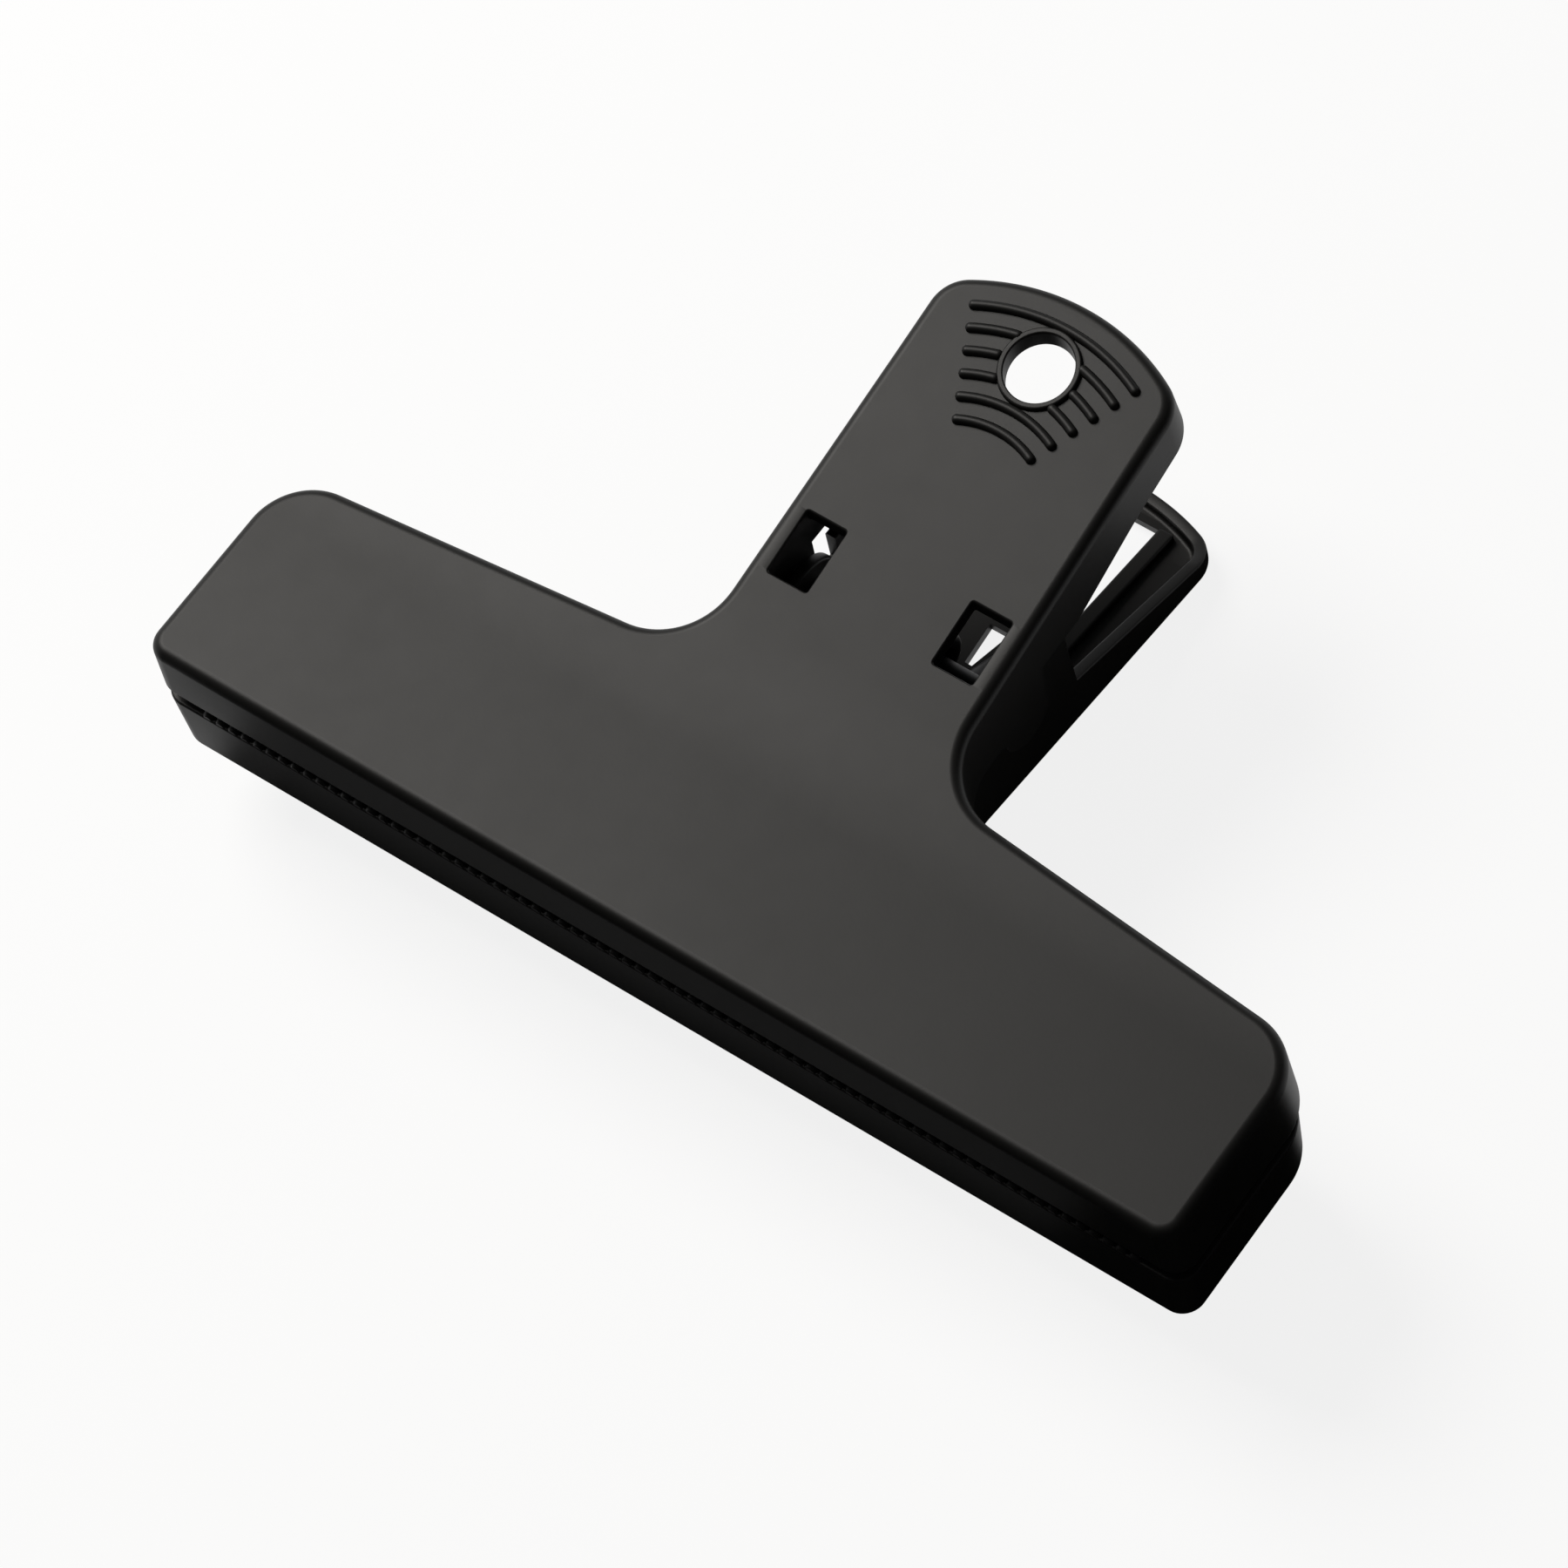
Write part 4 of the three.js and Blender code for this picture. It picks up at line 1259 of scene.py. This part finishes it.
@dataclass
class LowerLever:
    """The lower moulding: jaw with toothed lip, magnet seat, open handle floor and hinge bosses."""

    plan: LeverPlan = field(default_factory=lambda: LeverPlan(
        half_length=50.5, end_depth=18.9, middle_depth=22.4,
        base_half_width=10.77, tip_half_width=10.17, tip=62.2))
    shell: Shell = field(default_factory=lambda: Shell(end_draft=0.08, tip_draft=0.0))
    plate: float = 1.0
    lip: float = -0.45
    ear_radius: float = 3.8
    ear_points: int = 39
    ear_rear_angle: float = math.radians(8)
    tab_behind_pivot: Pair = (4.2, 7.3)
    tab_above_pivot: float = 3.6
    tab_lean: float = 0.14
    rim_at_tip: float = 1.8
    rim_angle: float = math.radians(20.4)
    boss_radius: float = 2.2
    boss_length: float = 1.4
    boss_edge: float = 0.2
    bore_radius: float = 1.5
    bore_past: float = 0.4
    opening_edge: float = 0.15
    opening_past: float = 0.1
    slot_half_width: float = 4.75
    slot_corner: float = 0.35
    slot_front: float = 48.0
    slot_rear_from_tip: float = 2.7
    relief_half_widths: Pair = (0.35, 1.0)
    relief_y: Pair = (39.8, 44.1)
    rail_width: float = 1.5
    rail_height: float = 0.8
    rail_front: float = 40.0
    rail_edge: float = 0.25
    tooth_height: float = 0.45
    tooth_sunk: float = 0.03
    tooth_half_width: float = 0.56
    tooth_pitch: float = 1.3
    tooth_margin: float = 3.2
    tooth_span: Pair = (0.04, 0.96)
    tooth_narrowing: Pair = (0.35, 6.0)
    tooth_rings: int = 7
    tooth_sides: int = 14
    magnet_size: Triple = (46.0, 9.0, 3.0)
    magnet_clearance: float = 0.3
    magnet_proud: float = 0.3
    pocket_edge: float = 0.12
    pocket_past: float = 0.6
    seat_wall: float = 1.5
    seat_front: float = 4.0
    seat_edge: float = 0.35

    def floor(self, y: float) -> float:
        """Height of the plate's inside at y."""
        return FRAME.lower_face(y) + self.plate

    def edge_height(self, y: float) -> float:
        """Height of the lever's side edge: lip, ear round the pin, stop tab, then the falling rim.

        Args:
            y: distance from the front edge.

        Returns:
            The height.
        """
        away = y - FRAME.pivot_y
        tab_front, tab_rear = self.tab_behind_pivot
        if away <= -self.ear_radius:
            return self.lip
        if away <= self.ear_radius * math.cos(self.ear_rear_angle):
            return FRAME.pivot_z + math.sqrt(max(0.0, self.ear_radius**2 - away**2))
        if away < tab_front:
            return FRAME.pivot_z + self.ear_radius * math.sin(self.ear_rear_angle)
        if away <= tab_rear:
            return FRAME.pivot_z + self.tab_above_pivot
        rim = FRAME.lower_face(self.plan.tip) + self.rim_at_tip
        return rim + (self.plan.tip - y) * math.tan(self.rim_angle)

    def build(self, plastic: Material) -> list[Piece]:
        """Makes the lever and the teeth of its lip.

        Args:
            plastic: the material of both.

        Returns:
            The two pieces.
        """
        turns = np.linspace(self.ear_rear_angle, math.pi, self.ear_points)
        tab_front, tab_rear = (FRAME.pivot_y + reach for reach in self.tab_behind_pivot)
        self.plan.trace([*(FRAME.pivot_y + self.ear_radius * np.cos(turns)),
                         tab_front - self.tab_lean, tab_front, tab_rear, tab_rear + self.tab_lean])
        edge = np.array([self.edge_height(y) for y in self.plan.edge[:, 1]])
        rings = self.shell.rings(self.plan, FRAME.lower_face, self.floor, edge, -1)
        body = skin(rings, Caps.STRIPS, "lower_shell")
        outer = self.plan.half_width(FRAME.pivot_y)
        bosses = [bar_along_x(sorted((side * (outer - self.shell.wall - self.boss_length),
                                      side * (outer - self.shell.wall / 2))),
                              self.boss_radius, f"boss_{side}", self.boss_edge) for side in (-1, 1)]
        under = self.plate - FRAME.top
        ribs = self.shell.ribs(self.plan, (under - self.plate / 2, under + self.shell.rib_height))
        body = combine(body, [*bosses, *ribs, *self._rails(), self._seat()], Join.ADD)
        body = combine(body, self._openings(outer), Join.CUT)
        return [dress(body, plastic), self._lip_teeth(plastic)]

    def _rails(self) -> list[Piece]:
        """The two raised rails beside the floor's slot, with rounded top edges.

        Returns:
            The two rails.
        """
        near = self.slot_half_width
        far, ends = near + self.rail_width, (self.rail_front, self.plan.tip - self.slot_rear_from_tip)
        edge = self.rail_edge
        levels = [(0.0, -self.plate / 2)]
        levels += [(-edge * side, self.rail_height - edge * drop) for drop, side in quarter_round(3)]
        rails = []
        for x, name in (((-far, -near), "rail_left"), ((near, far), "rail_right")):
            rings = [at_height(rounded_rectangle(x, ends, edge * RAIL_CORNER, grow),
                               lambda y, o=offset: self.floor(y) + o) for grow, offset in levels]
            rails.append(skin(rings, Caps.FLAT, name))
        return rails

    def _seat(self) -> Piece:
        """The raised seat of the magnet on the back of the jaw.

        Returns:
            The seat.
        """
        half = self.magnet_size[0] / 2 + self.magnet_clearance + self.seat_wall
        rear = self.seat_front + 2 * self.seat_wall + self.magnet_size[1] + 2 * self.magnet_clearance
        return block((-half, self.seat_front, FRAME.rest + self.magnet_proud),
                     (half, rear, self.plate / 2 - FRAME.top), self.seat_edge, "magnet_seat")

    def magnet_box(self, grow: float) -> tuple[Pair, Pair]:
        """The magnet's extent in x and y, grown by a clearance.

        Args:
            grow: the clearance.

        Returns:
            The two extents.
        """
        middle = self.seat_front + self.seat_wall + self.magnet_clearance + self.magnet_size[1] / 2
        half_x, half_y = self.magnet_size[0] / 2 + grow, self.magnet_size[1] / 2 + grow
        return (-half_x, half_x), (middle - half_y, middle + half_y)

    def _openings(self, outer: float) -> list[Piece]:
        """Cutters for the pin bores, the floor's slot and relief, and the magnet's pocket.

        Args:
            outer: half width of the handle at the hinge.

        Returns:
            The cutters.
        """
        cuts = []
        for side in (-1, 1):
            inner = outer - self.shell.wall - self.boss_length
            reach = sorted((side * (inner - self.bore_past), side * (outer + self.bore_past)))
            cuts.append(bar_along_x(reach, self.bore_radius, f"bore_cut_{side}"))
        half, ends = self.slot_half_width, (self.slot_front, self.plan.tip - self.slot_rear_from_tip)
        for name, outline in (
                ("slot_cut", lambda grow: rounded_rectangle((-half, half), ends, self.slot_corner, grow)),
                ("relief_cut", self._relief)):
            cuts.append(flared_cut(outline, FRAME.lower_face, self.plate + self.opening_past,
                                   self.opening_edge, -1, name))
        x, y = self.magnet_box(self.magnet_clearance)
        pocket_top = FRAME.rest + self.magnet_size[2] + self.magnet_clearance
        low, high = (x[0], y[0], FRAME.rest - self.pocket_past), (x[1], y[1], pocket_top)
        cuts.append(block(low, high, self.pocket_edge, "pocket_cut"))
        return cuts

    def _relief(self, grow: float) -> Points:
        """Outline of the small tapered relief in the floor.

        Args:
            grow: how far it is moved outwards.

        Returns:
            Its four points, in order.
        """
        front, rear = self.relief_half_widths
        start, end = self.relief_y
        return np.array([(front + grow, start - grow), (rear + grow, end + grow),
                         (-rear - grow, end + grow), (-front - grow, start - grow)])

    def _lip_teeth(self, plastic: Material) -> Piece:
        """Grows the row of small round teeth along the front lip.

        Args:
            plastic: the material.

        Returns:
            The teeth, as one piece.
        """
        grow = GrowTree("lip_teeth")
        maker = grow.maker
        count = grow.number("Count", whole=True)
        pitch, half, height, wall, start, front, lip = map(grow.number, (
            "Pitch", "Half Width", "Height", "Wall", "Start X", "Front Y", "Lip Z"))
        places = maker.make("GeometryNodeMeshLine", None,
                            {"Count": count, "Start Location": maker.vector(start, front, lip),
                             "Offset": maker.vector(pitch)})
        near, far = (maker.vector(y=wall * share) for share in self.tooth_span)
        spine = maker.make("GeometryNodeCurvePrimitiveLine", None, {"Start": near, "End": far})
        fine = maker.make("GeometryNodeResampleCurve", {"mode": "COUNT"},
                          {"Curve": spine.outputs[0], "Count": self.tooth_rings})
        from_middle = (maker.signal("GeometryNodeSplineParameter", None, None, "Factor") - 0.5) * 2.0
        narrowing, power = self.tooth_narrowing
        tooth = maker.sweep(fine.outputs[0], 1.0 - narrowing * from_middle ** power, half, self.tooth_sides)
        low = maker.make("GeometryNodeTransform", None,
                         {"Geometry": tooth, "Scale": maker.vector(1.0, 1.0, height / half)})
        row = maker.make("GeometryNodeInstanceOnPoints", None,
                         {"Points": places.outputs[0], "Instance": low.outputs[0]})
        grow.close(row.outputs[0], plastic)
        number = int(2 * (self.plan.half_length - self.tooth_margin) / self.tooth_pitch)
        start_x = -(number - 1) * self.tooth_pitch / 2
        place = FRAME.row([[start_x, 0.0, self.lip - self.tooth_sunk]])[0]
        return grow.grow("lip_teeth", {
            "Count": number, "Pitch": self.tooth_pitch * MILLIMETRE,
            "Half Width": self.tooth_half_width * MILLIMETRE,
            "Height": (self.tooth_height + self.tooth_sunk) * MILLIMETRE,
            "Wall": self.shell.wall * MILLIMETRE,
            "Start X": float(place[0]), "Front Y": float(place[1]), "Lip Z": float(place[2])})


@dataclass
class HingePin:
    """The plain steel pin that the levers turn on."""

    half_length: float = 11.29
    radius: float = 1.25
    edge: float = 0.2
    sides: int = 64

    def build(self, steel: Material) -> Piece:
        """Makes the pin.

        Args:
            steel: its material.

        Returns:
            The pin.
        """
        ends = (-self.half_length, self.half_length)
        return dress(bar_along_x(ends, self.radius, "steel_pin", self.edge, self.sides), steel)


@dataclass
class TorsionSpring:
    """The wound spring: a leg on the lower floor, a coil round the pin and a leg under the upper ceiling."""

    lower_plate: float
    upper_plate: float
    wire: float = 1.4
    wire_sides: int = 20
    end_share: float = 0.82
    end_length: float = 0.4
    turn_faces: int = 40
    leg_faces: int = 15
    turns: int = 4
    pitch: float = 1.9
    coil_radius: float = 2.65
    leg_reach: float = 12.5
    seat_gap: float = 0.25

    def route(self) -> Points:
        """The wire's centre line, from the lower leg's end to the upper leg's end.

        Returns:
            Its points.
        """
        pivot = np.array([FRAME.pivot_y, FRAME.pivot_z])
        leg_y = FRAME.pivot_y + self.leg_reach
        gap = (self.wire / 2 + self.seat_gap) / math.cos(FRAME.splay_angle)
        lower = np.array([leg_y, FRAME.lower_face(leg_y) + self.lower_plate + gap])
        upper = np.array([leg_y, FRAME.upper_face(leg_y) - self.upper_plate - gap])
        lower_angle = self._leave(lower - pivot, -1)
        upper_angle = self._leave(upper - pivot, 1) - 2 * math.pi * self.turns
        half = self.turns * self.pitch / 2
        share = np.linspace(0, 1, self.turn_faces * self.turns + 1)
        angle = lower_angle + (upper_angle - lower_angle) * share
        coil = np.stack([half - 2 * half * share, pivot[0] + self.coil_radius * np.cos(angle),
                         pivot[1] + self.coil_radius * np.sin(angle)], axis=1)
        leg = np.linspace(0, 1, self.leg_faces + 1)[:, None]
        start = np.array([half, *lower]) * (1 - leg) + coil[0] * leg
        end = coil[-1] * (1 - leg) + np.array([-half, *upper]) * leg
        return np.vstack([start[:-1], coil, end[1:]])

    def _leave(self, offset: Points, sign: int) -> float:
        """Angle at which a straight leg leaves the coil towards a point.

        Args:
            offset: the leg's end from the axis.
            sign: which way the coil turns there.

        Returns:
            The angle in radians.
        """
        angle = math.atan2(offset[1], offset[0]) % (2 * math.pi)
        return angle + sign * math.acos(self.coil_radius / np.hypot(*offset))

    def build(self, steel: Material) -> Piece:
        """Makes the spring by sweeping round wire along its route.

        Args:
            steel: its material.

        Returns:
            The spring.
        """
        grow = GrowTree("round_wire")
        maker = grow.maker
        radius, sides = grow.number("Wire Radius"), grow.number("Sides", whole=True)
        curve = maker.make("GeometryNodeMeshToCurve", None, {"Mesh": grow.entry.outputs[0]})
        share = (maker.from_end() / (radius * self.end_length)).least(1.0)
        swell = self.end_share + share * (1.0 - self.end_share)
        grow.close(maker.sweep(curve.outputs[0], swell, radius, sides), steel)
        route = FRAME.row(self.route())
        line = bpy.data.meshes.new("spring_route")
        line.from_pydata(route.tolist(), [(i, i + 1) for i in range(len(route) - 1)], [])
        values = {"Wire Radius": self.wire / 2 * MILLIMETRE, "Sides": self.wire_sides}
        return grow.grow("spring_wire", values, line)


@dataclass
class MagnetBar:
    """The ferrite bar in the seat on the lower jaw's back."""

    edge: float = 0.25

    def build(self, lever: LowerLever, ferrite: Material) -> Piece:
        """Makes the bar.

        Args:
            lever: the lever that holds it.
            ferrite: its material.

        Returns:
            The bar.
        """
        x, y = lever.magnet_box(0.0)
        low, high = (x[0], y[0], FRAME.rest), (x[1], y[1], FRAME.rest + lever.magnet_size[2])
        return dress(block(low, high, self.edge, "ferrite_bar"), ferrite)


# The studio


@dataclass(frozen=True)
class PhotoCamera:
    """The camera that was fitted to the photograph's outline."""

    lens: float = 209.17
    sensor: float = 36.0
    position: Triple = (0.291792, -0.235327, 0.635867)
    right: Triple = (0.79419, 0.58494, -0.16465)
    down: Triple = (0.45190, -0.74966, -0.48353)
    forward: Triple = (-0.40626, 0.30961, -0.85970)
    clip: Pair = (0.02, 20.0)

    def build(self) -> None:
        """Makes the scene's camera."""
        data = bpy.data.cameras.new("photo_camera")
        data.lens, data.sensor_width, data.sensor_fit = self.lens, self.sensor, "HORIZONTAL"
        data.clip_start, data.clip_end = self.clip
        camera = bpy.data.objects.new("photo_camera", data)
        bpy.context.scene.collection.objects.link(camera)
        turn = Matrix((self.right, [-v for v in self.down], [-v for v in self.forward])).transposed()
        camera.matrix_world = Matrix.Translation(self.position) @ turn.to_4x4()
        bpy.context.scene.camera = camera


@dataclass(frozen=True)
class SoftLamp:
    """A large soft lamp."""

    name: str
    place: Triple
    aim: Triple
    size: float
    power: float
    tint: Triple = (1.0, 0.975, 0.935)

    def build(self) -> None:
        """Makes the lamp."""
        data = bpy.data.lights.new(self.name, "AREA")
        data.shape, data.size, data.energy, data.color = "DISK", self.size, self.power, self.tint
        lamp = bpy.data.objects.new(self.name, data)
        bpy.context.scene.collection.objects.link(lamp)
        lamp.location = self.place
        lamp.rotation_mode = "QUATERNION"
        lamp.rotation_quaternion = (Vector(self.aim) - Vector(self.place)).to_track_quat("-Z", "Y")


@dataclass(frozen=True)
class Studio:
    """Pale floor, white world, a soft lamp, and dark sheets and a glowing strip that only reflections see:
    painted shade and a painted sheen in the clip's dark walls.
    """

    floor_size: float = 6.0
    floor_colour: Triple = (0.82, 0.82, 0.815)
    floor_glow: float = 0.85
    fill: float = 0.7
    horizon: tuple[Pair, ...] = ((0.0, 1.0), (0.2, 1.0), (0.42, 0.12))
    lamps: tuple[SoftLamp, ...] = (
        SoftLamp("overhead_lamp", place=(-0.37, 0.05, 0.50), aim=(-0.02, 0.0, 0.0), size=0.36, power=4.0),)
    # Dark sheets that only reflections see, painting shade and dark reflections into the clip's walls in
    # place of the floor's shade: two in front of the clip, two at its right end, two on the floor at the
    # handle's right side and one under the jaw.
    painted_shade_cards: tuple[tuple[Triple, ...], ...] = (
        ((-0.0495, -0.0318, 0.0003), (0.16, -0.0318, 0.0003),
         (0.16, -0.044, 0.0003), (-0.057, -0.044, 0.0003)),
        ((-0.057, -0.044, 0.0003), (0.16, -0.044, 0.0003),
         (0.16, -0.22, 0.30), (-0.40, -0.22, 0.30)),
        ((0.0515, -0.20, 0.0003), (0.0515, -0.007, 0.0003),
         (0.0652, -0.007, 0.0236), (0.0652, -0.20, 0.0236)),
        ((0.0652, -0.20, 0.0236), (0.0652, 0.30, 0.0236),
         (0.24, 0.30, 0.32), (0.24, -0.20, 0.32)),
        ((0.009, -0.007, 0.0003), (0.009, 0.036, 0.0003),
         (0.017, 0.036, 0.0003), (0.017, -0.007, 0.0003)),
        ((0.017, -0.007, 0.0003), (0.017, 0.029, 0.0003),
         (0.038, 0.029, 0.0003), (0.038, -0.007, 0.0003)),
        ((-0.045, -0.0325, 0.0003), (0.0525, -0.0325, 0.0003),
         (0.0525, -0.010, 0.0003), (-0.045, -0.010, 0.0003)))
    # Colour of the painted-shade sheets, and of the painted-sheen strip under its glow.
    painted_shade_grey: float = 0.004
    # One strip over the first card that glows for reflections only: a painted sheen, the soft light along the
    # front wall.
    strips: tuple[tuple[Triple, ...], ...] = (
        ((-0.060, -0.0368, 0.0006), (0.034, -0.0372, 0.0006),
         (0.034, -0.0402, 0.0006), (-0.060, -0.0436, 0.0006)),)
    # Glow of the painted sheen strip.
    painted_sheen_glow: float = 0.26

    @staticmethod
    def _seen(maker: NodeMaker) -> Signal:
        """One for rays from the camera, from a reflection or through glass, else zero.

        Args:
            maker: what adds the nodes.

        Returns:
            The signal.
        """
        path = maker.make("ShaderNodeLightPath")
        rays = [Signal(maker, path.outputs[name]) for name in
                ("Is Camera Ray", "Is Glossy Ray", "Is Transmission Ray")]
        return rays[0].most(rays[1]).most(rays[2])

    def _sheet(self, name: str, corners: Sequence[Sequence[float]], material: Material) -> Piece:
        """A flat staged sheet.

        Args:
            name: the object's name.
            corners: its corners, in order.
            material: its material.

        Returns:
            The sheet.
        """
        mesh = bpy.data.meshes.new(name)
        mesh.from_pydata([tuple(corner) for corner in corners], [], [tuple(range(len(corners)))])
        mesh.materials.append(material)
        sheet = bpy.data.objects.new(name, mesh)
        bpy.context.scene.collection.objects.link(sheet)
        return sheet

    def _floor_material(self) -> Material:
        """Pale paper that the camera sees as nearly white, with the object's shadow kept.

        Returns:
            The material.
        """
        material = bpy.data.materials.new("floor_paper")
        material.use_nodes = True
        maker = NodeMaker(material.node_tree)
        material.node_tree.nodes.remove(material.node_tree.nodes["Principled BSDF"])
        paper = maker.make("ShaderNodeBsdfDiffuse", None, {"Color": (*self.floor_colour, 1)})
        glow = maker.make("ShaderNodeEmission", None, {"Color": (1, 1, 1, 1), "Strength": 1.0})
        share = self._seen(maker) * self.floor_glow
        mixed = maker.make("ShaderNodeMixShader", None, {0: share, 1: paper.outputs[0], 2: glow.outputs[0]})
        maker.tree.links.new(mixed.outputs[0], material.node_tree.nodes["Material Output"].inputs[0])
        return material

    def _painted_light_material(self, name: str, glow: float = 0.0) -> Material:
        """Matt black sheet that only reflections see, as painted shade; it may glow a faint grey as a painted
        sheen.

        Args:
            name: the material's name.
            glow: strength of the glow.

        Returns:
            The material.
        """
        material = bpy.data.materials.new(name)
        material.use_nodes = True
        shader = material.node_tree.nodes["Principled BSDF"]
        grey = (self.painted_shade_grey, self.painted_shade_grey, self.painted_shade_grey, 1)
        for key, value in (("Base Color", grey), ("Roughness", 1.0), ("Specular IOR Level", 0.0),
                           ("Emission Color", (1, 1, 1, 1)), ("Emission Strength", glow)):
            shader.inputs[key].default_value = value
        return material

    def build(self) -> None:
        """Makes the floor, the painted-shade sheets and the painted-sheen strip, the lamps and the world."""
        reach = self.floor_size / 2
        floor = ((-reach, -reach, 0), (reach, -reach, 0), (reach, reach, 0), (-reach, reach, 0))
        self._sheet("floor", floor, self._floor_material())
        # Sheets and a strip that only reflections see: painted shade, and a painted sheen where the strip
        # glows.
        for name, outlines, glow in (("black_card", self.painted_shade_cards, 0.0),
                                     ("grey_strip", self.strips, self.painted_sheen_glow)):
            material = self._painted_light_material(name, glow)
            for number, corners in enumerate(outlines):
                sheet = self._sheet(f"{name}_{number}", corners, material)
                sheet.visible_camera = sheet.visible_shadow = sheet.visible_diffuse = False
        for lamp in self.lamps:
            lamp.build()
        world = bpy.data.worlds.new("studio_world")
        bpy.context.scene.world = world
        world.use_nodes = True
        maker = NodeMaker(world.node_tree)
        strength = self.fill + self._seen(maker) * (1.0 - self.fill)
        height = maker.parts(maker.make("ShaderNodeTexCoord").outputs["Generated"])[2]
        sky = maker.make("ShaderNodeValToRGB", {"stops": self.horizon}, {0: height})
        background = world.node_tree.nodes["Background"]
        maker.tree.links.new(sky.outputs[0], background.inputs["Color"])
        maker.tree.links.new(strength.socket, background.inputs["Strength"])
        bpy.context.scene.view_settings.view_transform = "Standard"


def place(piece: Piece, body: Body, slot: str, *nodes: str) -> None:
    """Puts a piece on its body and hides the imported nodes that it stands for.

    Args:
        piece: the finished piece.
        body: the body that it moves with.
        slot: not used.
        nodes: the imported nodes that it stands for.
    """
    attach(piece, body.value)
    if nodes:
        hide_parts(*nodes)
    LOG.info("%s: %d faces on %s", piece.name, len(piece.data.polygons), body.value)


def main() -> None:
    logging.basicConfig(level=logging.INFO, format="%(name)s: %(message)s")
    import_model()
    PhotoCamera().build()
    plastic = MouldedPlastic("moulded_black_plastic").build()
    steel = DrawnSteel("blackened_steel").build()
    ferrite = SinteredFerrite("sintered_ferrite").build()

    upper = UpperLever()
    upper_shell, thumb_grip = upper.build(plastic)
    place(upper_shell, Body.UPPER, "black_plastic", "upper_lever")
    place(thumb_grip, Body.UPPER, "black_plastic")

    lower = LowerLever()
    lower_shell, lip_teeth = lower.build(plastic)
    place(lower_shell, Body.LOWER, "black_plastic", "lower_lever")
    place(lip_teeth, Body.LOWER, "black_plastic")

    place(HingePin().build(steel), Body.LOWER, "pin_steel", "hinge_pin")
    place(MagnetBar().build(lower, ferrite), Body.LOWER, "ferrite", "magnet_bar")

    spring = TorsionSpring(lower.plate, upper.plate)
    wire = spring.build(steel)
    side = spring.turns * spring.pitch / 2
    start, end = FRAME.row([[side, FRAME.pivot_y, FRAME.pivot_z], [-side, FRAME.pivot_y, FRAME.pivot_z]])
    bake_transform(wire)
    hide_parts("torsion_spring")
    LOG.info("%s: %d faces between both bodies", wire.name, len(wire.data.polygons))

    Studio().build()


if __name__ == "__main__":
    main()
